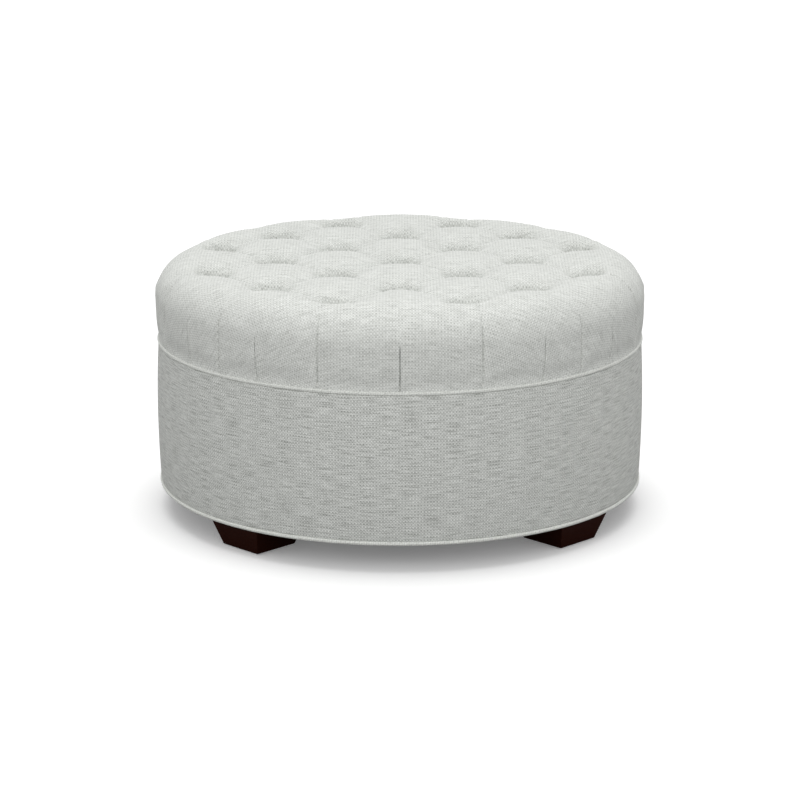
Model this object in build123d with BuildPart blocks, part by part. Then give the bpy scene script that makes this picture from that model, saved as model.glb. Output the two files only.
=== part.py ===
from build123d import *
import os
from math import atan2, cos, degrees, hypot, radians, sin, sqrt, tan

# A round tufted ottoman, in millimetres. The origin is on the floor at the centre, +Z is up,
# and -Y is the front.

os.makedirs("parts", exist_ok=True)

# Overall sizes
drum_diameter = 914.0
overall_height = 470.0
crown_seam_height = 328.0
side_padding_room = 15.0
layer_gap = 0.3
cut_over = 5.0

# Fabric and filling
crown_cover_thickness = 2.4
side_cover_thickness = 1.5
welt_radius = 3.3
welt_cord_radius = 2.3
welt_fabric = 0.9
welt_proud = 1.0
welt_lip_length = 24.0
seam_draw = 4.0
crown_tuck_length = 20.0
side_turn_length = 21.0
hem_width = 27.0
dust_cover_thickness = 0.8
dust_cover_inset = 2.0
tack_strip_thickness = 1.5
tack_strip_width = 14.0
slab_thickness = 75.0
slab_inset = 10.0
slab_edge_round = 20.0

# Crown and tufts
swell_height = 372.0
shoulder_radius = 85.0
edge_drop = 3.0
tuft_step = 115.4
puff_dome_radius = 340.0
seat_depth = 35.0
bowl_radius = 50.0
bowl_reach = 62.0
bowl_centre_depth = 52.3
bowl_rim_angle = 5.0
pleat_width = 2.4
pleat_depth = 1.6
pleat_stop = 3.0
dart_height = 83.0
dart_reach = 60.0

# Buttons, twines and anchors
button_radius = 11.0
button_rim = 1.5
button_rise = 6.0
twine_radius = 1.0
twine_clearance = 0.3
knot_radius = 3.0
knot_height = 4.0
anchor_radius = 12.0
anchor_thickness = 3.0
foam_bore_radius = 10.0
deck_bore_radius = 4.0

# Frame
panel_thickness = 18.0
wall_thickness = 5.0
glue_gap = 0.2
deck_above_seam = 22.0
rail_height = 40.0
rail_width = 25.0
rail_step_share = 1.5
post_side = 40.0
block_side = 90.0
block_thickness = 28.0

# Feet
foot_height = 47.6
foot_top_side = 121.0
foot_slope = 0.32
foot_ring_radius = 386.0
foot_turn = 3.64
foot_edge_round = 1.2
foot_pad_radius = 20.0
foot_pad_thickness = 2.0

# Fasteners
bolt_radius = 4.0
bolt_bite = 30.0
bolt_clearance = 0.15
bolt_tail = 2.0
tee_barrel_radius = 5.3
tee_barrel_length = 9.0
tee_flange_radius = 11.0
tee_flange_thickness = 1.5
screw_radius = 2.5
screw_head_radius = 5.0
screw_head_height = 2.5
screw_clearance = 0.15
base_screw_length = 55.0
deck_screw_length = 90.0
staple_wire = 1.0
staple_crown = 10.0
staple_leg = 10.0
staple_clearance = 0.1
staple_ring_inset = 8.0
staple_count = 11
staple_arc = 60.0

# Heights that follow from the stack of layers
drum_radius = drum_diameter / 2
foot_top = foot_pad_thickness + foot_height
dust_cover_top = foot_top + dust_cover_thickness
base_lip_top = dust_cover_top + welt_fabric
base_panel_bottom = base_lip_top + side_cover_thickness
base_panel_top = base_panel_bottom + panel_thickness
deck_top = crown_seam_height + deck_above_seam
deck_bottom = deck_top - panel_thickness
rail_bottom = deck_bottom - rail_height
slab_top = deck_top + slab_thickness
mid_welt_height = crown_seam_height - layer_gap - welt_radius
base_welt_height = foot_top + layer_gap + welt_radius
side_top = mid_welt_height - welt_radius - layer_gap
side_bottom = base_welt_height + welt_radius + layer_gap
block_top = base_panel_top + block_thickness

# Radii that follow from the stack of layers, from the wall outwards
wall_radius = drum_radius - side_padding_room
panel_radius = wall_radius - wall_thickness - glue_gap
seam_radius = drum_radius - seam_draw
welt_ring_radius = seam_radius + welt_proud - welt_radius
tuck_radius = wall_radius + layer_gap
lip_radius = tuck_radius + crown_cover_thickness + layer_gap
turn_radius = lip_radius + welt_fabric + layer_gap
strip_radius = turn_radius + side_cover_thickness + layer_gap
hem_radius = wall_radius - hem_width
dust_cover_radius = wall_radius - dust_cover_inset * 3
staple_ring_radius = dust_cover_radius - staple_ring_inset
slab_radius = wall_radius - slab_inset

# The tufts stand on a square grid turned by 45 degrees. Grid places are counted in tuft steps.
grid = range(-3, 4)
tufts = [(i, j) for i in grid for j in grid if (i + j) % 2 == 0 and i * i + j * j <= 10]
puffs = [(i, j) for i in grid for j in grid if (i + j) % 2 == 1 and i * i + j * j <= 5]
lobes = [(i, j) for i in grid for j in grid if (i + j) % 2 == 1 and 9 <= i * i + j * j <= 13]
rim_tufts = [(i, j) for i, j in tufts if i * i + j * j >= 8]
star = sorted(
    [(i, j) for i, j in tufts if i * i + j * j >= 4],
    key=lambda place: atan2(place[1], place[0]),
)
tuft_points = [(i * tuft_step, j * tuft_step) for i, j in tufts]
ridge_reach = tuft_step / sqrt(2)

# Posts stand under the rail ends, and the rails run between the tuft rows.
rail_offset = rail_step_share * tuft_step
post_reach = sqrt((panel_radius - layer_gap) ** 2 - (rail_offset + post_side / 2) ** 2) - post_side / 2
rail_length = 2 * (
    sqrt((panel_radius - layer_gap) ** 2 - (rail_offset + rail_width / 2) ** 2)
)
post_points = [
    (sx * x, sy * y)
    for x, y in ((rail_offset, post_reach), (post_reach, rail_offset))
    for sx in (1, -1)
    for sy in (1, -1)
]
foot_names = ["rear_right", "rear_left", "front_left", "front_right"]
foot_angles = [45 + foot_turn + 90 * k for k in range(4)]
foot_points = [
    (foot_ring_radius * cos(radians(a)), foot_ring_radius * sin(radians(a))) for a in foot_angles
]


# The crown's outer form

def crown_side_radius(height, inset):
    """Radius of the crown's side below its swell, where it draws in to the seam."""
    drop = swell_height - crown_seam_height
    side_arc = (seam_draw**2 + drop**2) / (2 * seam_draw)
    return drum_radius - side_arc + sqrt((side_arc - inset) ** 2 - (swell_height - height) ** 2)


def crown_profile(inset, floor):
    """Half section of the crown without tufts, drawn in by inset and cut flat at floor."""
    top = overall_height - edge_drop - inset
    foot_of_side = (crown_side_radius(floor, inset), floor)
    swell = (drum_radius - inset, swell_height)
    shoulder = (drum_radius - inset, overall_height - edge_drop - shoulder_radius)
    crest = (drum_radius - shoulder_radius, top)
    with BuildSketch(Plane.XY) as section:
        with BuildLine():
            Line((0, floor), foot_of_side)
            TangentArc(swell, foot_of_side, tangent=(0, -1))
            Line(swell, shoulder)
            TangentArc(shoulder, crest, tangent=(0, 1))
            Polyline(crest, (0, top), (0, floor))
        make_face()
    return section.sketch


def upright(angle):
    """Upright plane through the axis: local x runs outwards at angle, local y runs up."""
    outwards = Vector(cos(radians(angle)), sin(radians(angle)), 0)
    return Plane(origin=(0, 0, 0), x_dir=outwards, z_dir=outwards.cross(Vector(0, 0, 1)))


def puff_column(place, inset, floor):
    """One diamond column whose top is a shallow dome, so that neighbours meet in creases."""
    x, y = place[0] * tuft_step, place[1] * tuft_step
    with BuildPart() as column:
        with BuildSketch(Plane.XY.offset(floor)):
            with Locations((x, y)):
                Rectangle(sqrt(2) * tuft_step, sqrt(2) * tuft_step, rotation=45)
        extrude(amount=overall_height + cut_over - floor)
        with Locations((x, y, overall_height - puff_dome_radius)):
            Sphere(puff_dome_radius - inset, mode=Mode.INTERSECT)
    return column.part


def rim_crease(start, end, inset):
    """Cutter that rounds the rim's lobe down to the crease between two neighbouring tufts."""
    along = Vector(end[0] - start[0], end[1] - start[1], 0).normalized()
    outwards = Vector(along.Y, -along.X, 0)
    middle = Vector(start[0] + end[0], start[1] + end[1], 0) * (tuft_step / 2)
    crest = middle + outwards * ridge_reach
    lobe_angle = degrees(atan2(crest.Y, crest.X))
    pleats = [degrees(atan2(j, i)) + turn for i, j in rim_tufts for turn in (-360, 0, 360)]
    first = max(angle for angle in pleats if angle < lobe_angle)
    last = min(angle for angle in pleats if angle > lobe_angle)
    far = 2 * drum_radius
    low = overall_height - puff_dome_radius
    low += sqrt((puff_dome_radius - inset) ** 2 - ridge_reach**2)
    ridge = (ridge_reach, overall_height - inset)
    over = overall_height + cut_over
    with BuildPart() as cutter:
        with BuildSketch(Plane(origin=middle, x_dir=outwards, z_dir=outwards.cross(Vector(0, 0, 1)))):
            with BuildLine():
                Line((-cut_over, low), (0, low))
                TangentArc(ridge, (0, low), tangent=(-1, 0))
                Polyline(ridge, (ridge_reach, over), (-cut_over, over), (-cut_over, low))
            make_face()
        extrude(amount=2 * tuft_step, both=True)
        with BuildSketch(Plane.XY.offset(deck_top)):
            with BuildLine():
                Polyline(
                    (0, 0),
                    (far * cos(radians(first)), far * sin(radians(first))),
                    (far * cos(radians(last)), far * sin(radians(last))),
                    close=True,
                )
            make_face()
        extrude(amount=over + cut_over - deck_top, mode=Mode.INTERSECT)
    return cutter.part


def tuft_bowl(inset):
    """Cutter for the hollow at a tuft: a flat seat with a flared side, on the Z axis."""
    flare = bowl_radius - inset
    seat = overall_height - seat_depth - inset
    centre = overall_height - bowl_centre_depth
    seat_edge = bowl_reach - sqrt(flare**2 - (seat - centre) ** 2)
    rim_turn = radians(bowl_rim_angle)
    middle_turn = (atan2(bowl_reach - seat_edge, seat - centre) + rim_turn) / 2
    rim = (bowl_reach - flare * sin(rim_turn), centre + flare * cos(rim_turn))
    middle = (bowl_reach - flare * sin(middle_turn), centre + flare * cos(middle_turn))
    over = overall_height + cut_over
    with BuildPart() as bowl:
        with BuildSketch(Plane.XZ):
            with BuildLine():
                Line((0, seat), (seat_edge, seat))
                ThreePointArc((seat_edge, seat), middle, rim)
                Polyline(rim, (rim[0], over), (0, over), (0, seat))
            make_face()
        revolve(axis=Axis.Z)
    return bowl.part


def pleat_groove(angle, inner_radius, top):
    """Cutter for one pleat that runs down the crown's side from top to just above the seam."""
    bottom = crown_seam_height + pleat_stop
    outer = drum_radius + cut_over
    with BuildPart() as groove:
        with BuildSketch(upright(angle)):
            with BuildLine():
                Polyline((inner_radius, bottom), (outer, bottom), (outer, top), (inner_radius, top), close=True)
            make_face()
            add(crown_profile(pleat_depth, crown_seam_height), mode=Mode.SUBTRACT)
        extrude(amount=pleat_width / 2, both=True)
    return groove.part


def crown_form(inset, floor, pleated):
    """The tufted crown as one solid, drawn in by inset all over and cut flat at floor."""
    columns = [puff_column(place, inset, floor) for place in puffs]
    creases = [rim_crease(star[k - 1], star[k], inset) for k in range(len(star))]
    bowl = tuft_bowl(inset)
    hollows = [bowl.moved(Location((x, y, 0))) for x, y in tuft_points]
    if pleated:
        over = overall_height + cut_over
        dart_top = crown_seam_height + dart_height
        for i, j in rim_tufts:
            hollows.append(pleat_groove(degrees(atan2(j, i)), hypot(i, j) * tuft_step, over))
        for i, j in lobes:
            hollows.append(pleat_groove(degrees(atan2(j, i)), drum_radius - dart_reach, dart_top))
    half_section = crown_profile(inset, floor)
    with BuildPart() as crown:
        with BuildSketch(Plane.XZ):
            add(half_section)
        revolve(axis=Axis.Z)
        with BuildSketch(Plane.XY.offset(floor - cut_over)):
            with BuildLine():
                Polyline(*[(i * tuft_step, j * tuft_step) for i, j in star], close=True)
            make_face()
        extrude(amount=overall_height + 2 * cut_over - floor, mode=Mode.SUBTRACT)
        add(creases, mode=Mode.SUBTRACT)
        add(columns)
        add(hollows, mode=Mode.SUBTRACT)
    return crown.part


def bottom_face(solid):
    """The lowest flat face of a solid."""
    return solid.faces().filter_by(GeomType.PLANE).sort_by(Axis.Z)[0]


def open_shell(outer, inner):
    """A wall between two nested forms that both stand on one plane, where it is open."""
    outer_bottom = bottom_face(outer)
    inner_bottom = bottom_face(inner)
    rim = Face(outer_bottom.outer_wire(), [inner_bottom.outer_wire()])
    skin = [face for face in outer.faces() if face != outer_bottom]
    lining = [face for face in inner.faces() if face != inner_bottom]
    return Solid(Shell(skin + lining + [rim]))


# Crown cover, with the edge that is tucked in under the foam and stapled to the wall
cover_shell = open_shell(
    crown_form(0, crown_seam_height, True),
    crown_form(crown_cover_thickness, crown_seam_height, False),
)
with BuildPart() as tufted_cover:
    add(cover_shell)
    with BuildSketch(Plane.XZ):
        with BuildLine():
            Polyline(
                (tuck_radius, crown_seam_height + crown_cover_thickness),
                (tuck_radius, crown_seam_height - crown_tuck_length),
                (tuck_radius + crown_cover_thickness, crown_seam_height - crown_tuck_length),
                (tuck_radius + crown_cover_thickness, crown_seam_height),
                (seam_radius - crown_cover_thickness / 2, crown_seam_height),
                (seam_radius - crown_cover_thickness / 2, crown_seam_height + crown_cover_thickness),
                close=True,
            )
        make_face()
    revolve(axis=Axis.Z)
    with Locations(*[(x, y, overall_height - seat_depth) for x, y in tuft_points]):
        Cylinder(twine_radius + twine_clearance, 2 * cut_over, mode=Mode.SUBTRACT)
tufted_cover.part.label = "tufted_cover"
export_step(tufted_cover.part, "parts/tufted_cover.step")

# Soft topper, which fills the cover and hangs over the top of the wall
topper_inset = crown_cover_thickness + layer_gap
topper_floor = crown_seam_height + topper_inset
topper_form = crown_form(topper_inset, topper_floor, False)
with BuildPart() as topper_pad:
    add(topper_form)
    with Locations((0, 0, topper_floor)):
        Cylinder(
            tuck_radius,
            deck_top - topper_floor,
            align=(Align.CENTER, Align.CENTER, Align.MIN),
            mode=Mode.SUBTRACT,
        )
    with BuildSketch(Plane.XZ):
        with BuildLine():
            Polyline(
                (0, deck_top),
                (slab_radius + layer_gap, deck_top),
                (slab_radius + layer_gap, slab_top - slab_edge_round),
            )
            TangentArc(
                (slab_radius + layer_gap, slab_top - slab_edge_round),
                (slab_radius - slab_edge_round, slab_top + layer_gap),
                tangent=(0, 1),
            )
            Polyline((slab_radius - slab_edge_round, slab_top + layer_gap), (0, slab_top + layer_gap), (0, deck_top))
        make_face()
    revolve(axis=Axis.Z, mode=Mode.SUBTRACT)
    with Locations(*[(x, y, slab_top) for x, y in tuft_points]):
        Cylinder(twine_radius + twine_clearance, 2 * (overall_height - slab_top), mode=Mode.SUBTRACT)
topper_pad.part.label = "topper_pad"
export_step(topper_pad.part, "parts/topper_pad.step")

# Firm foam slab on the deck, drilled under each tuft
with BuildPart() as seat_foam:
    with BuildSketch(Plane.XZ):
        with BuildLine():
            Polyline((0, deck_top), (slab_radius, deck_top), (slab_radius, slab_top - slab_edge_round))
            TangentArc(
                (slab_radius, slab_top - slab_edge_round),
                (slab_radius - slab_edge_round, slab_top),
                tangent=(0, 1),
            )
            Polyline((slab_radius - slab_edge_round, slab_top), (0, slab_top), (0, deck_top))
        make_face()
    revolve(axis=Axis.Z)
    with Locations(*[(x, y, slab_top) for x, y in tuft_points]):
        Hole(foam_bore_radius)
seat_foam.part.label = "seat_foam"
export_step(seat_foam.part, "parts/seat_foam.step")

# Covered buttons in the bottoms of the tufts
button_seat = overall_height - seat_depth + layer_gap
with BuildPart() as tuft_buttons:
    with BuildSketch(Plane.XZ) as button_section:
        with BuildLine():
            Polyline((0, button_seat), (button_radius, button_seat), (button_radius, button_seat + button_rim))
            TangentArc(
                (0, button_seat + button_rise),
                (button_radius, button_seat + button_rim),
                tangent=(1, 0),
            )
            Line((0, button_seat + button_rise), (0, button_seat))
        make_face()
    revolve(axis=Axis.Z)
    first_button = tuft_buttons.part
with BuildPart() as tuft_buttons:
    with Locations(*tuft_points):
        add(first_button)
tuft_buttons.part.label = "tuft_buttons"
export_step(tuft_buttons.part, "parts/tuft_buttons.step")

# Twines, from the buttons down through foam and deck to a knot under each anchor
knot_top = deck_bottom - anchor_thickness
with BuildPart() as tuft_twines:
    with BuildSketch(Plane.XY.offset(knot_top)):
        with Locations(*tuft_points):
            Circle(twine_radius)
    extrude(amount=button_seat - knot_top)
    with BuildSketch(Plane.XY.offset(knot_top)):
        with Locations(*tuft_points):
            Circle(knot_radius)
    extrude(amount=-knot_height, taper=-degrees(atan2(twine_radius - knot_radius, knot_height)) / 2)
tuft_twines.part.label = "tuft_twines"
export_step(tuft_twines.part, "parts/tuft_twines.step")

# Anchor washers under the deck
with BuildPart() as tuft_anchors:
    with BuildSketch(Plane.XY.offset(knot_top)):
        with Locations(*tuft_points):
            Circle(anchor_radius)
            Circle(twine_radius + twine_clearance, mode=Mode.SUBTRACT)
    extrude(amount=anchor_thickness)
tuft_anchors.part.label = "tuft_anchors"
export_step(tuft_anchors.part, "parts/tuft_anchors.step")


# Welts: a fabric sleeve with a stapling lip, and a cord inside it

def staple_slots(low, high):
    """Cut or fill the holes of all staple legs between two heights, in the open builder."""
    leg = staple_wire + 2 * staple_clearance
    for angle in foot_angles:
        start = angle + 45 - staple_arc / 2
        with PolarLocations(staple_ring_radius, staple_count, start, staple_arc, endpoint=True):
            with Locations((0, staple_crown / 2, (low + high) / 2), (0, -staple_crown / 2, (low + high) / 2)):
                Box(leg, leg, high - low, mode=Mode.SUBTRACT)


with BuildPart() as mid_welt_sleeve:
    with BuildSketch(Plane.XZ):
        with BuildLine():
            Polyline(
                (lip_radius, mid_welt_height - welt_lip_length + welt_radius),
                (lip_radius + welt_fabric, mid_welt_height - welt_lip_length + welt_radius),
                (lip_radius + welt_fabric, mid_welt_height - welt_fabric / 2),
                (welt_ring_radius - welt_cord_radius, mid_welt_height - welt_fabric / 2),
                (welt_ring_radius - welt_cord_radius, mid_welt_height + welt_fabric / 2),
                (lip_radius, mid_welt_height + welt_fabric / 2),
                close=True,
            )
        make_face()
        with Locations((welt_ring_radius, mid_welt_height)):
            Circle(welt_radius)
            Circle(welt_radius - welt_fabric, mode=Mode.SUBTRACT)
    revolve(axis=Axis.Z)
mid_welt_sleeve.part.label = "mid_welt_sleeve"
export_step(mid_welt_sleeve.part, "parts/mid_welt_sleeve.step")

base_lip_inner = welt_ring_radius - welt_lip_length
with BuildPart() as base_welt_sleeve:
    with BuildSketch(Plane.XZ):
        with BuildLine():
            Polyline(
                (base_lip_inner, dust_cover_top),
                (welt_ring_radius, dust_cover_top),
                (welt_ring_radius, base_lip_top),
                (base_lip_inner, base_lip_top),
                close=True,
            )
        make_face()
        with Locations((welt_ring_radius, base_welt_height)):
            Circle(welt_radius)
            Circle(welt_radius - welt_fabric, mode=Mode.SUBTRACT)
    revolve(axis=Axis.Z)
    staple_slots(foot_top, base_panel_bottom)
base_welt_sleeve.part.label = "base_welt_sleeve"
export_step(base_welt_sleeve.part, "parts/base_welt_sleeve.step")

for welt_name, welt_height in (("mid_welt_cord", mid_welt_height), ("base_welt_cord", base_welt_height)):
    with BuildPart() as welt_cord:
        with BuildSketch(Plane.XZ):
            with Locations((welt_ring_radius, welt_height)):
                Circle(welt_cord_radius)
        revolve(axis=Axis.Z)
    welt_cord.part.label = welt_name
    export_step(welt_cord.part, f"parts/{welt_name}.step")

# Side cover: turned in over the tack strip at the top, and hemmed under the base panel
side_middle = (side_top + side_bottom) / 2
cover_lining = seam_radius - side_cover_thickness
turn_bottom = side_top - side_turn_length
with BuildPart() as side_cover:
    with BuildSketch(Plane.XZ):
        with BuildLine():
            ThreePointArc((seam_radius, side_bottom), (drum_radius, side_middle), (seam_radius, side_top))
            Polyline(
                (seam_radius, side_top),
                (turn_radius, side_top),
                (turn_radius, turn_bottom),
                (turn_radius + side_cover_thickness, turn_bottom),
                (turn_radius + side_cover_thickness, side_top - side_cover_thickness),
                (cover_lining, side_top - side_cover_thickness),
            )
            ThreePointArc(
                (cover_lining, side_top - side_cover_thickness),
                (drum_radius - side_cover_thickness, side_middle),
                (cover_lining, side_bottom + side_cover_thickness),
            )
            Polyline(
                (cover_lining, side_bottom + side_cover_thickness),
                (tuck_radius, side_bottom + side_cover_thickness),
                (tuck_radius, base_panel_bottom),
                (hem_radius, base_panel_bottom),
                (hem_radius, base_lip_top),
                (tuck_radius + side_cover_thickness, base_lip_top),
                (tuck_radius + side_cover_thickness, side_bottom),
                (seam_radius, side_bottom),
            )
        make_face()
    revolve(axis=Axis.Z)
    staple_slots(base_lip_top - cut_over, base_panel_bottom + cut_over)
side_cover.part.label = "side_cover"
export_step(side_cover.part, "parts/side_cover.step")

# Cardboard strip that keeps the side cover's folded top straight
with BuildPart() as tack_strip:
    with BuildSketch(Plane.XY.offset(side_top - side_cover_thickness - layer_gap)):
        Circle(strip_radius + tack_strip_thickness)
        Circle(strip_radius, mode=Mode.SUBTRACT)
    extrude(amount=-tack_strip_width)
tack_strip.part.label = "tack_strip"
export_step(tack_strip.part, "parts/tack_strip.step")

# Padding between the wall and the side cover
padding_top = turn_bottom - layer_gap
padding_bottom = side_bottom + side_cover_thickness + layer_gap
padding_edge = cover_lining - layer_gap
with BuildPart() as side_padding:
    with BuildSketch(Plane.XZ):
        with BuildLine():
            Polyline(
                (padding_edge, padding_top),
                (tuck_radius, padding_top),
                (tuck_radius, padding_bottom),
                (padding_edge, padding_bottom),
            )
            ThreePointArc(
                (padding_edge, padding_bottom),
                (drum_radius - side_cover_thickness - layer_gap, side_middle),
                (padding_edge, padding_top),
            )
        make_face()
    revolve(axis=Axis.Z)
side_padding.part.label = "side_padding"
export_step(side_padding.part, "parts/side_padding.step")


# Screws and the holes that they sit in

def screw_section(head_face, length, clearance, down):
    """Half section of a countersunk screw, its head flush with head_face."""
    way = -1 if down else 1
    with BuildSketch(Plane.XY) as section:
        with BuildLine():
            Polyline(
                (0, head_face),
                (screw_head_radius + clearance, head_face),
                (screw_radius + clearance, head_face + way * screw_head_height),
                (screw_radius + clearance, head_face + way * (length - 2 * screw_radius)),
                (0, head_face + way * (length + clearance)),
                close=True,
            )
        make_face()
    return section.sketch


def screws(head_face, length, clearance, down):
    """One screw, or its hole, at each post."""
    section = screw_section(head_face, length, clearance, down)
    with BuildPart() as single:
        with BuildSketch(Plane.XZ):
            add(section)
        revolve(axis=Axis.Z)
    return [single.part.moved(Location((x, y, 0))) for x, y in post_points]


base_screw_holes = screws(base_panel_bottom, base_screw_length, screw_clearance, False)
deck_screw_holes = screws(deck_top, deck_screw_length, screw_clearance, True)

# Bent plywood wall round the frame
with BuildPart() as side_wall:
    with BuildSketch(Plane.XY.offset(base_panel_bottom)):
        Circle(wall_radius)
        Circle(wall_radius - wall_thickness, mode=Mode.SUBTRACT)
    extrude(amount=deck_top - base_panel_bottom)
side_wall.part.label = "side_wall"
export_step(side_wall.part, "parts/side_wall.step")

# Plywood deck, drilled for the twines
with BuildPart() as top_deck:
    with BuildSketch(Plane.XY.offset(deck_bottom)):
        Circle(panel_radius)
        with Locations(*tuft_points):
            Circle(deck_bore_radius, mode=Mode.SUBTRACT)
    extrude(amount=panel_thickness)
    add(deck_screw_holes, mode=Mode.SUBTRACT)
top_deck.part.label = "top_deck"
export_step(top_deck.part, "parts/top_deck.step")

# Rails under the deck, halved into each other where they cross
lap_width = rail_width + 2 * glue_gap
for rail_name, side, lengthwise in (
    ("deck_rail_left", -1, True),
    ("deck_rail_right", 1, True),
    ("deck_rail_front", -1, False),
    ("deck_rail_rear", 1, False),
):
    centre = (side * rail_offset, 0) if lengthwise else (0, side * rail_offset)
    size = (rail_width, rail_length) if lengthwise else (rail_length, rail_width)
    crossings = [(side * rail_offset, way * rail_offset) for way in (1, -1)]
    if not lengthwise:
        crossings = [(y, x) for x, y in crossings]
    lap_bottom = deck_bottom - rail_height / 2 if lengthwise else rail_bottom - cut_over
    lap_top = deck_bottom + cut_over if lengthwise else deck_bottom - rail_height / 2
    with BuildPart() as rail:
        with BuildSketch(Plane.XY.offset(rail_bottom)):
            with Locations(centre):
                Rectangle(*size)
        extrude(amount=rail_height)
        with BuildSketch(Plane.XY.offset(lap_bottom)):
            with Locations(*crossings):
                Rectangle(lap_width, lap_width)
        extrude(amount=lap_top - lap_bottom, mode=Mode.SUBTRACT)
        add(deck_screw_holes, mode=Mode.SUBTRACT)
    rail.part.label = rail_name
    export_step(rail.part, f"parts/{rail_name}.step")

# Posts between the base panel and the rail ends
for number, place in enumerate(post_points, start=1):
    with BuildPart() as post:
        with BuildSketch(Plane.XY.offset(base_panel_top)):
            with Locations(place):
                Rectangle(post_side, post_side)
        extrude(amount=rail_bottom - base_panel_top)
        add(base_screw_holes + deck_screw_holes, mode=Mode.SUBTRACT)
    post.part.label = f"post_{number}"
    export_step(post.part, f"parts/post_{number}.step")

# Plywood base panel, with holes for the foot bolts, screws and staples
with BuildPart() as base_panel:
    with BuildSketch(Plane.XY.offset(base_panel_bottom)):
        Circle(panel_radius)
        with Locations(*foot_points):
            Circle(bolt_radius + bolt_clearance, mode=Mode.SUBTRACT)
    extrude(amount=panel_thickness)
    add(base_screw_holes, mode=Mode.SUBTRACT)
    staple_slots(base_panel_bottom - cut_over, foot_top + staple_leg + staple_clearance)
base_panel.part.label = "base_panel"
export_step(base_panel.part, "parts/base_panel.step")

# Dust cover under the base
with BuildPart() as dust_cover:
    with BuildSketch(Plane.XY.offset(foot_top)):
        Circle(dust_cover_radius)
        with Locations(*foot_points):
            Circle(bolt_radius + bolt_clearance, mode=Mode.SUBTRACT)
    extrude(amount=dust_cover_thickness)
    staple_slots(foot_top - cut_over, dust_cover_top + cut_over)
dust_cover.part.label = "dust_cover"
export_step(dust_cover.part, "parts/dust_cover.step")

# Staples through the dust cover, the welt's lip and the hem into the base panel
with BuildPart() as base_staples:
    for angle in foot_angles:
        start = angle + 45 - staple_arc / 2
        with PolarLocations(staple_ring_radius, staple_count, start, staple_arc, endpoint=True):
            with Locations((0, 0, foot_top - staple_wire)):
                Box(
                    staple_wire,
                    staple_crown + staple_wire,
                    staple_wire,
                    align=(Align.CENTER, Align.CENTER, Align.MIN),
                )
            with Locations((0, staple_crown / 2, foot_top), (0, -staple_crown / 2, foot_top)):
                Box(
                    staple_wire,
                    staple_wire,
                    staple_leg,
                    align=(Align.CENTER, Align.CENTER, Align.MIN),
                )
base_staples.part.label = "base_staples"
export_step(base_staples.part, "parts/base_staples.step")

# Feet: square blocks that taper towards the floor, a corner of each towards the front
bolt_bottom = foot_top - bolt_bite
taper_angle = degrees(atan2(foot_slope, 1))
for foot_name, place in zip(foot_names, foot_points):
    with BuildPart() as foot:
        with BuildSketch(Plane.XY.offset(foot_top)):
            with Locations(place):
                Rectangle(foot_top_side, foot_top_side, rotation=45)
        extrude(amount=-foot_height, taper=taper_angle)
        fillet(foot.faces().sort_by(Axis.Z)[0].edges(), foot_edge_round)
        with BuildSketch(Plane.XY.offset(bolt_bottom)):
            with Locations(place):
                Circle(bolt_radius + bolt_clearance)
        extrude(amount=bolt_bite + cut_over, mode=Mode.SUBTRACT)
    foot.part.label = f"foot_{foot_name}"
    export_step(foot.part, f"parts/foot_{foot_name}.step")

# Blocks glued on the base panel over the feet
for foot_name, place in zip(foot_names, foot_points):
    with BuildPart() as block:
        with BuildSketch(Plane.XY.offset(base_panel_top)):
            with Locations(place):
                Rectangle(block_side, block_side, rotation=45)
                Circle(bolt_radius + bolt_clearance, mode=Mode.SUBTRACT)
        extrude(amount=block_thickness)
        with BuildSketch(Plane.XY.offset(block_top)):
            with Locations(place):
                Circle(tee_barrel_radius + bolt_clearance)
        extrude(amount=-tee_barrel_length - bolt_clearance, mode=Mode.SUBTRACT)
    block.part.label = f"foot_block_{foot_name}"
    export_step(block.part, f"parts/foot_block_{foot_name}.step")

# Hanger bolts, from the feet up into the tee nuts
bolt_length = block_top + tee_flange_thickness + bolt_tail - bolt_bottom
with BuildPart() as hanger_bolts:
    with BuildSketch(Plane.XY.offset(bolt_bottom)):
        with Locations(*foot_points):
            Circle(bolt_radius)
    extrude(amount=bolt_length)
    chamfer(hanger_bolts.edges().group_by(Axis.Z)[-1], bolt_radius / 4)
hanger_bolts.part.label = "hanger_bolts"
export_step(hanger_bolts.part, "parts/hanger_bolts.step")

# Tee nuts, seated in the blocks from above
with BuildPart() as tee_nuts:
    with BuildSketch(Plane.XY.offset(block_top)):
        with Locations(*foot_points):
            Circle(tee_flange_radius)
    extrude(amount=tee_flange_thickness)
    with BuildSketch(Plane.XY.offset(block_top)):
        with Locations(*foot_points):
            Circle(tee_barrel_radius)
    extrude(amount=-tee_barrel_length)
    with BuildSketch(Plane.XY.offset(block_top + tee_flange_thickness)):
        with Locations(*foot_points):
            Circle(bolt_radius + bolt_clearance)
    extrude(amount=-tee_flange_thickness - tee_barrel_length, mode=Mode.SUBTRACT)
tee_nuts.part.label = "tee_nuts"
export_step(tee_nuts.part, "parts/tee_nuts.step")

# Felt pads under the feet
with BuildPart() as foot_pads:
    with BuildSketch(Plane.XY):
        with Locations(*foot_points):
            Circle(foot_pad_radius)
    extrude(amount=foot_pad_thickness)
foot_pads.part.label = "foot_pads"
export_step(foot_pads.part, "parts/foot_pads.step")

# Screws, up through the base panel and down through the deck, into the posts
for screw_name, screw_solids in (
    ("base_screws", screws(base_panel_bottom, base_screw_length, 0, False)),
    ("deck_screws", screws(deck_top, deck_screw_length, 0, True)),
):
    with BuildPart() as screw_set:
        add(screw_solids)
    screw_set.part.label = screw_name
    export_step(screw_set.part, f"parts/{screw_name}.step")
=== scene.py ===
"""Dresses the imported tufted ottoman: cloth, welts, buttons, padding, wood, and a pale studio.

Lengths are in metres, and a name that ends in _mm is in millimetres. The origin is on the floor
at the centre, +Z is up and -Y is the front. Bearings are turned from the front towards +X.
"""

from __future__ import annotations

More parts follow.
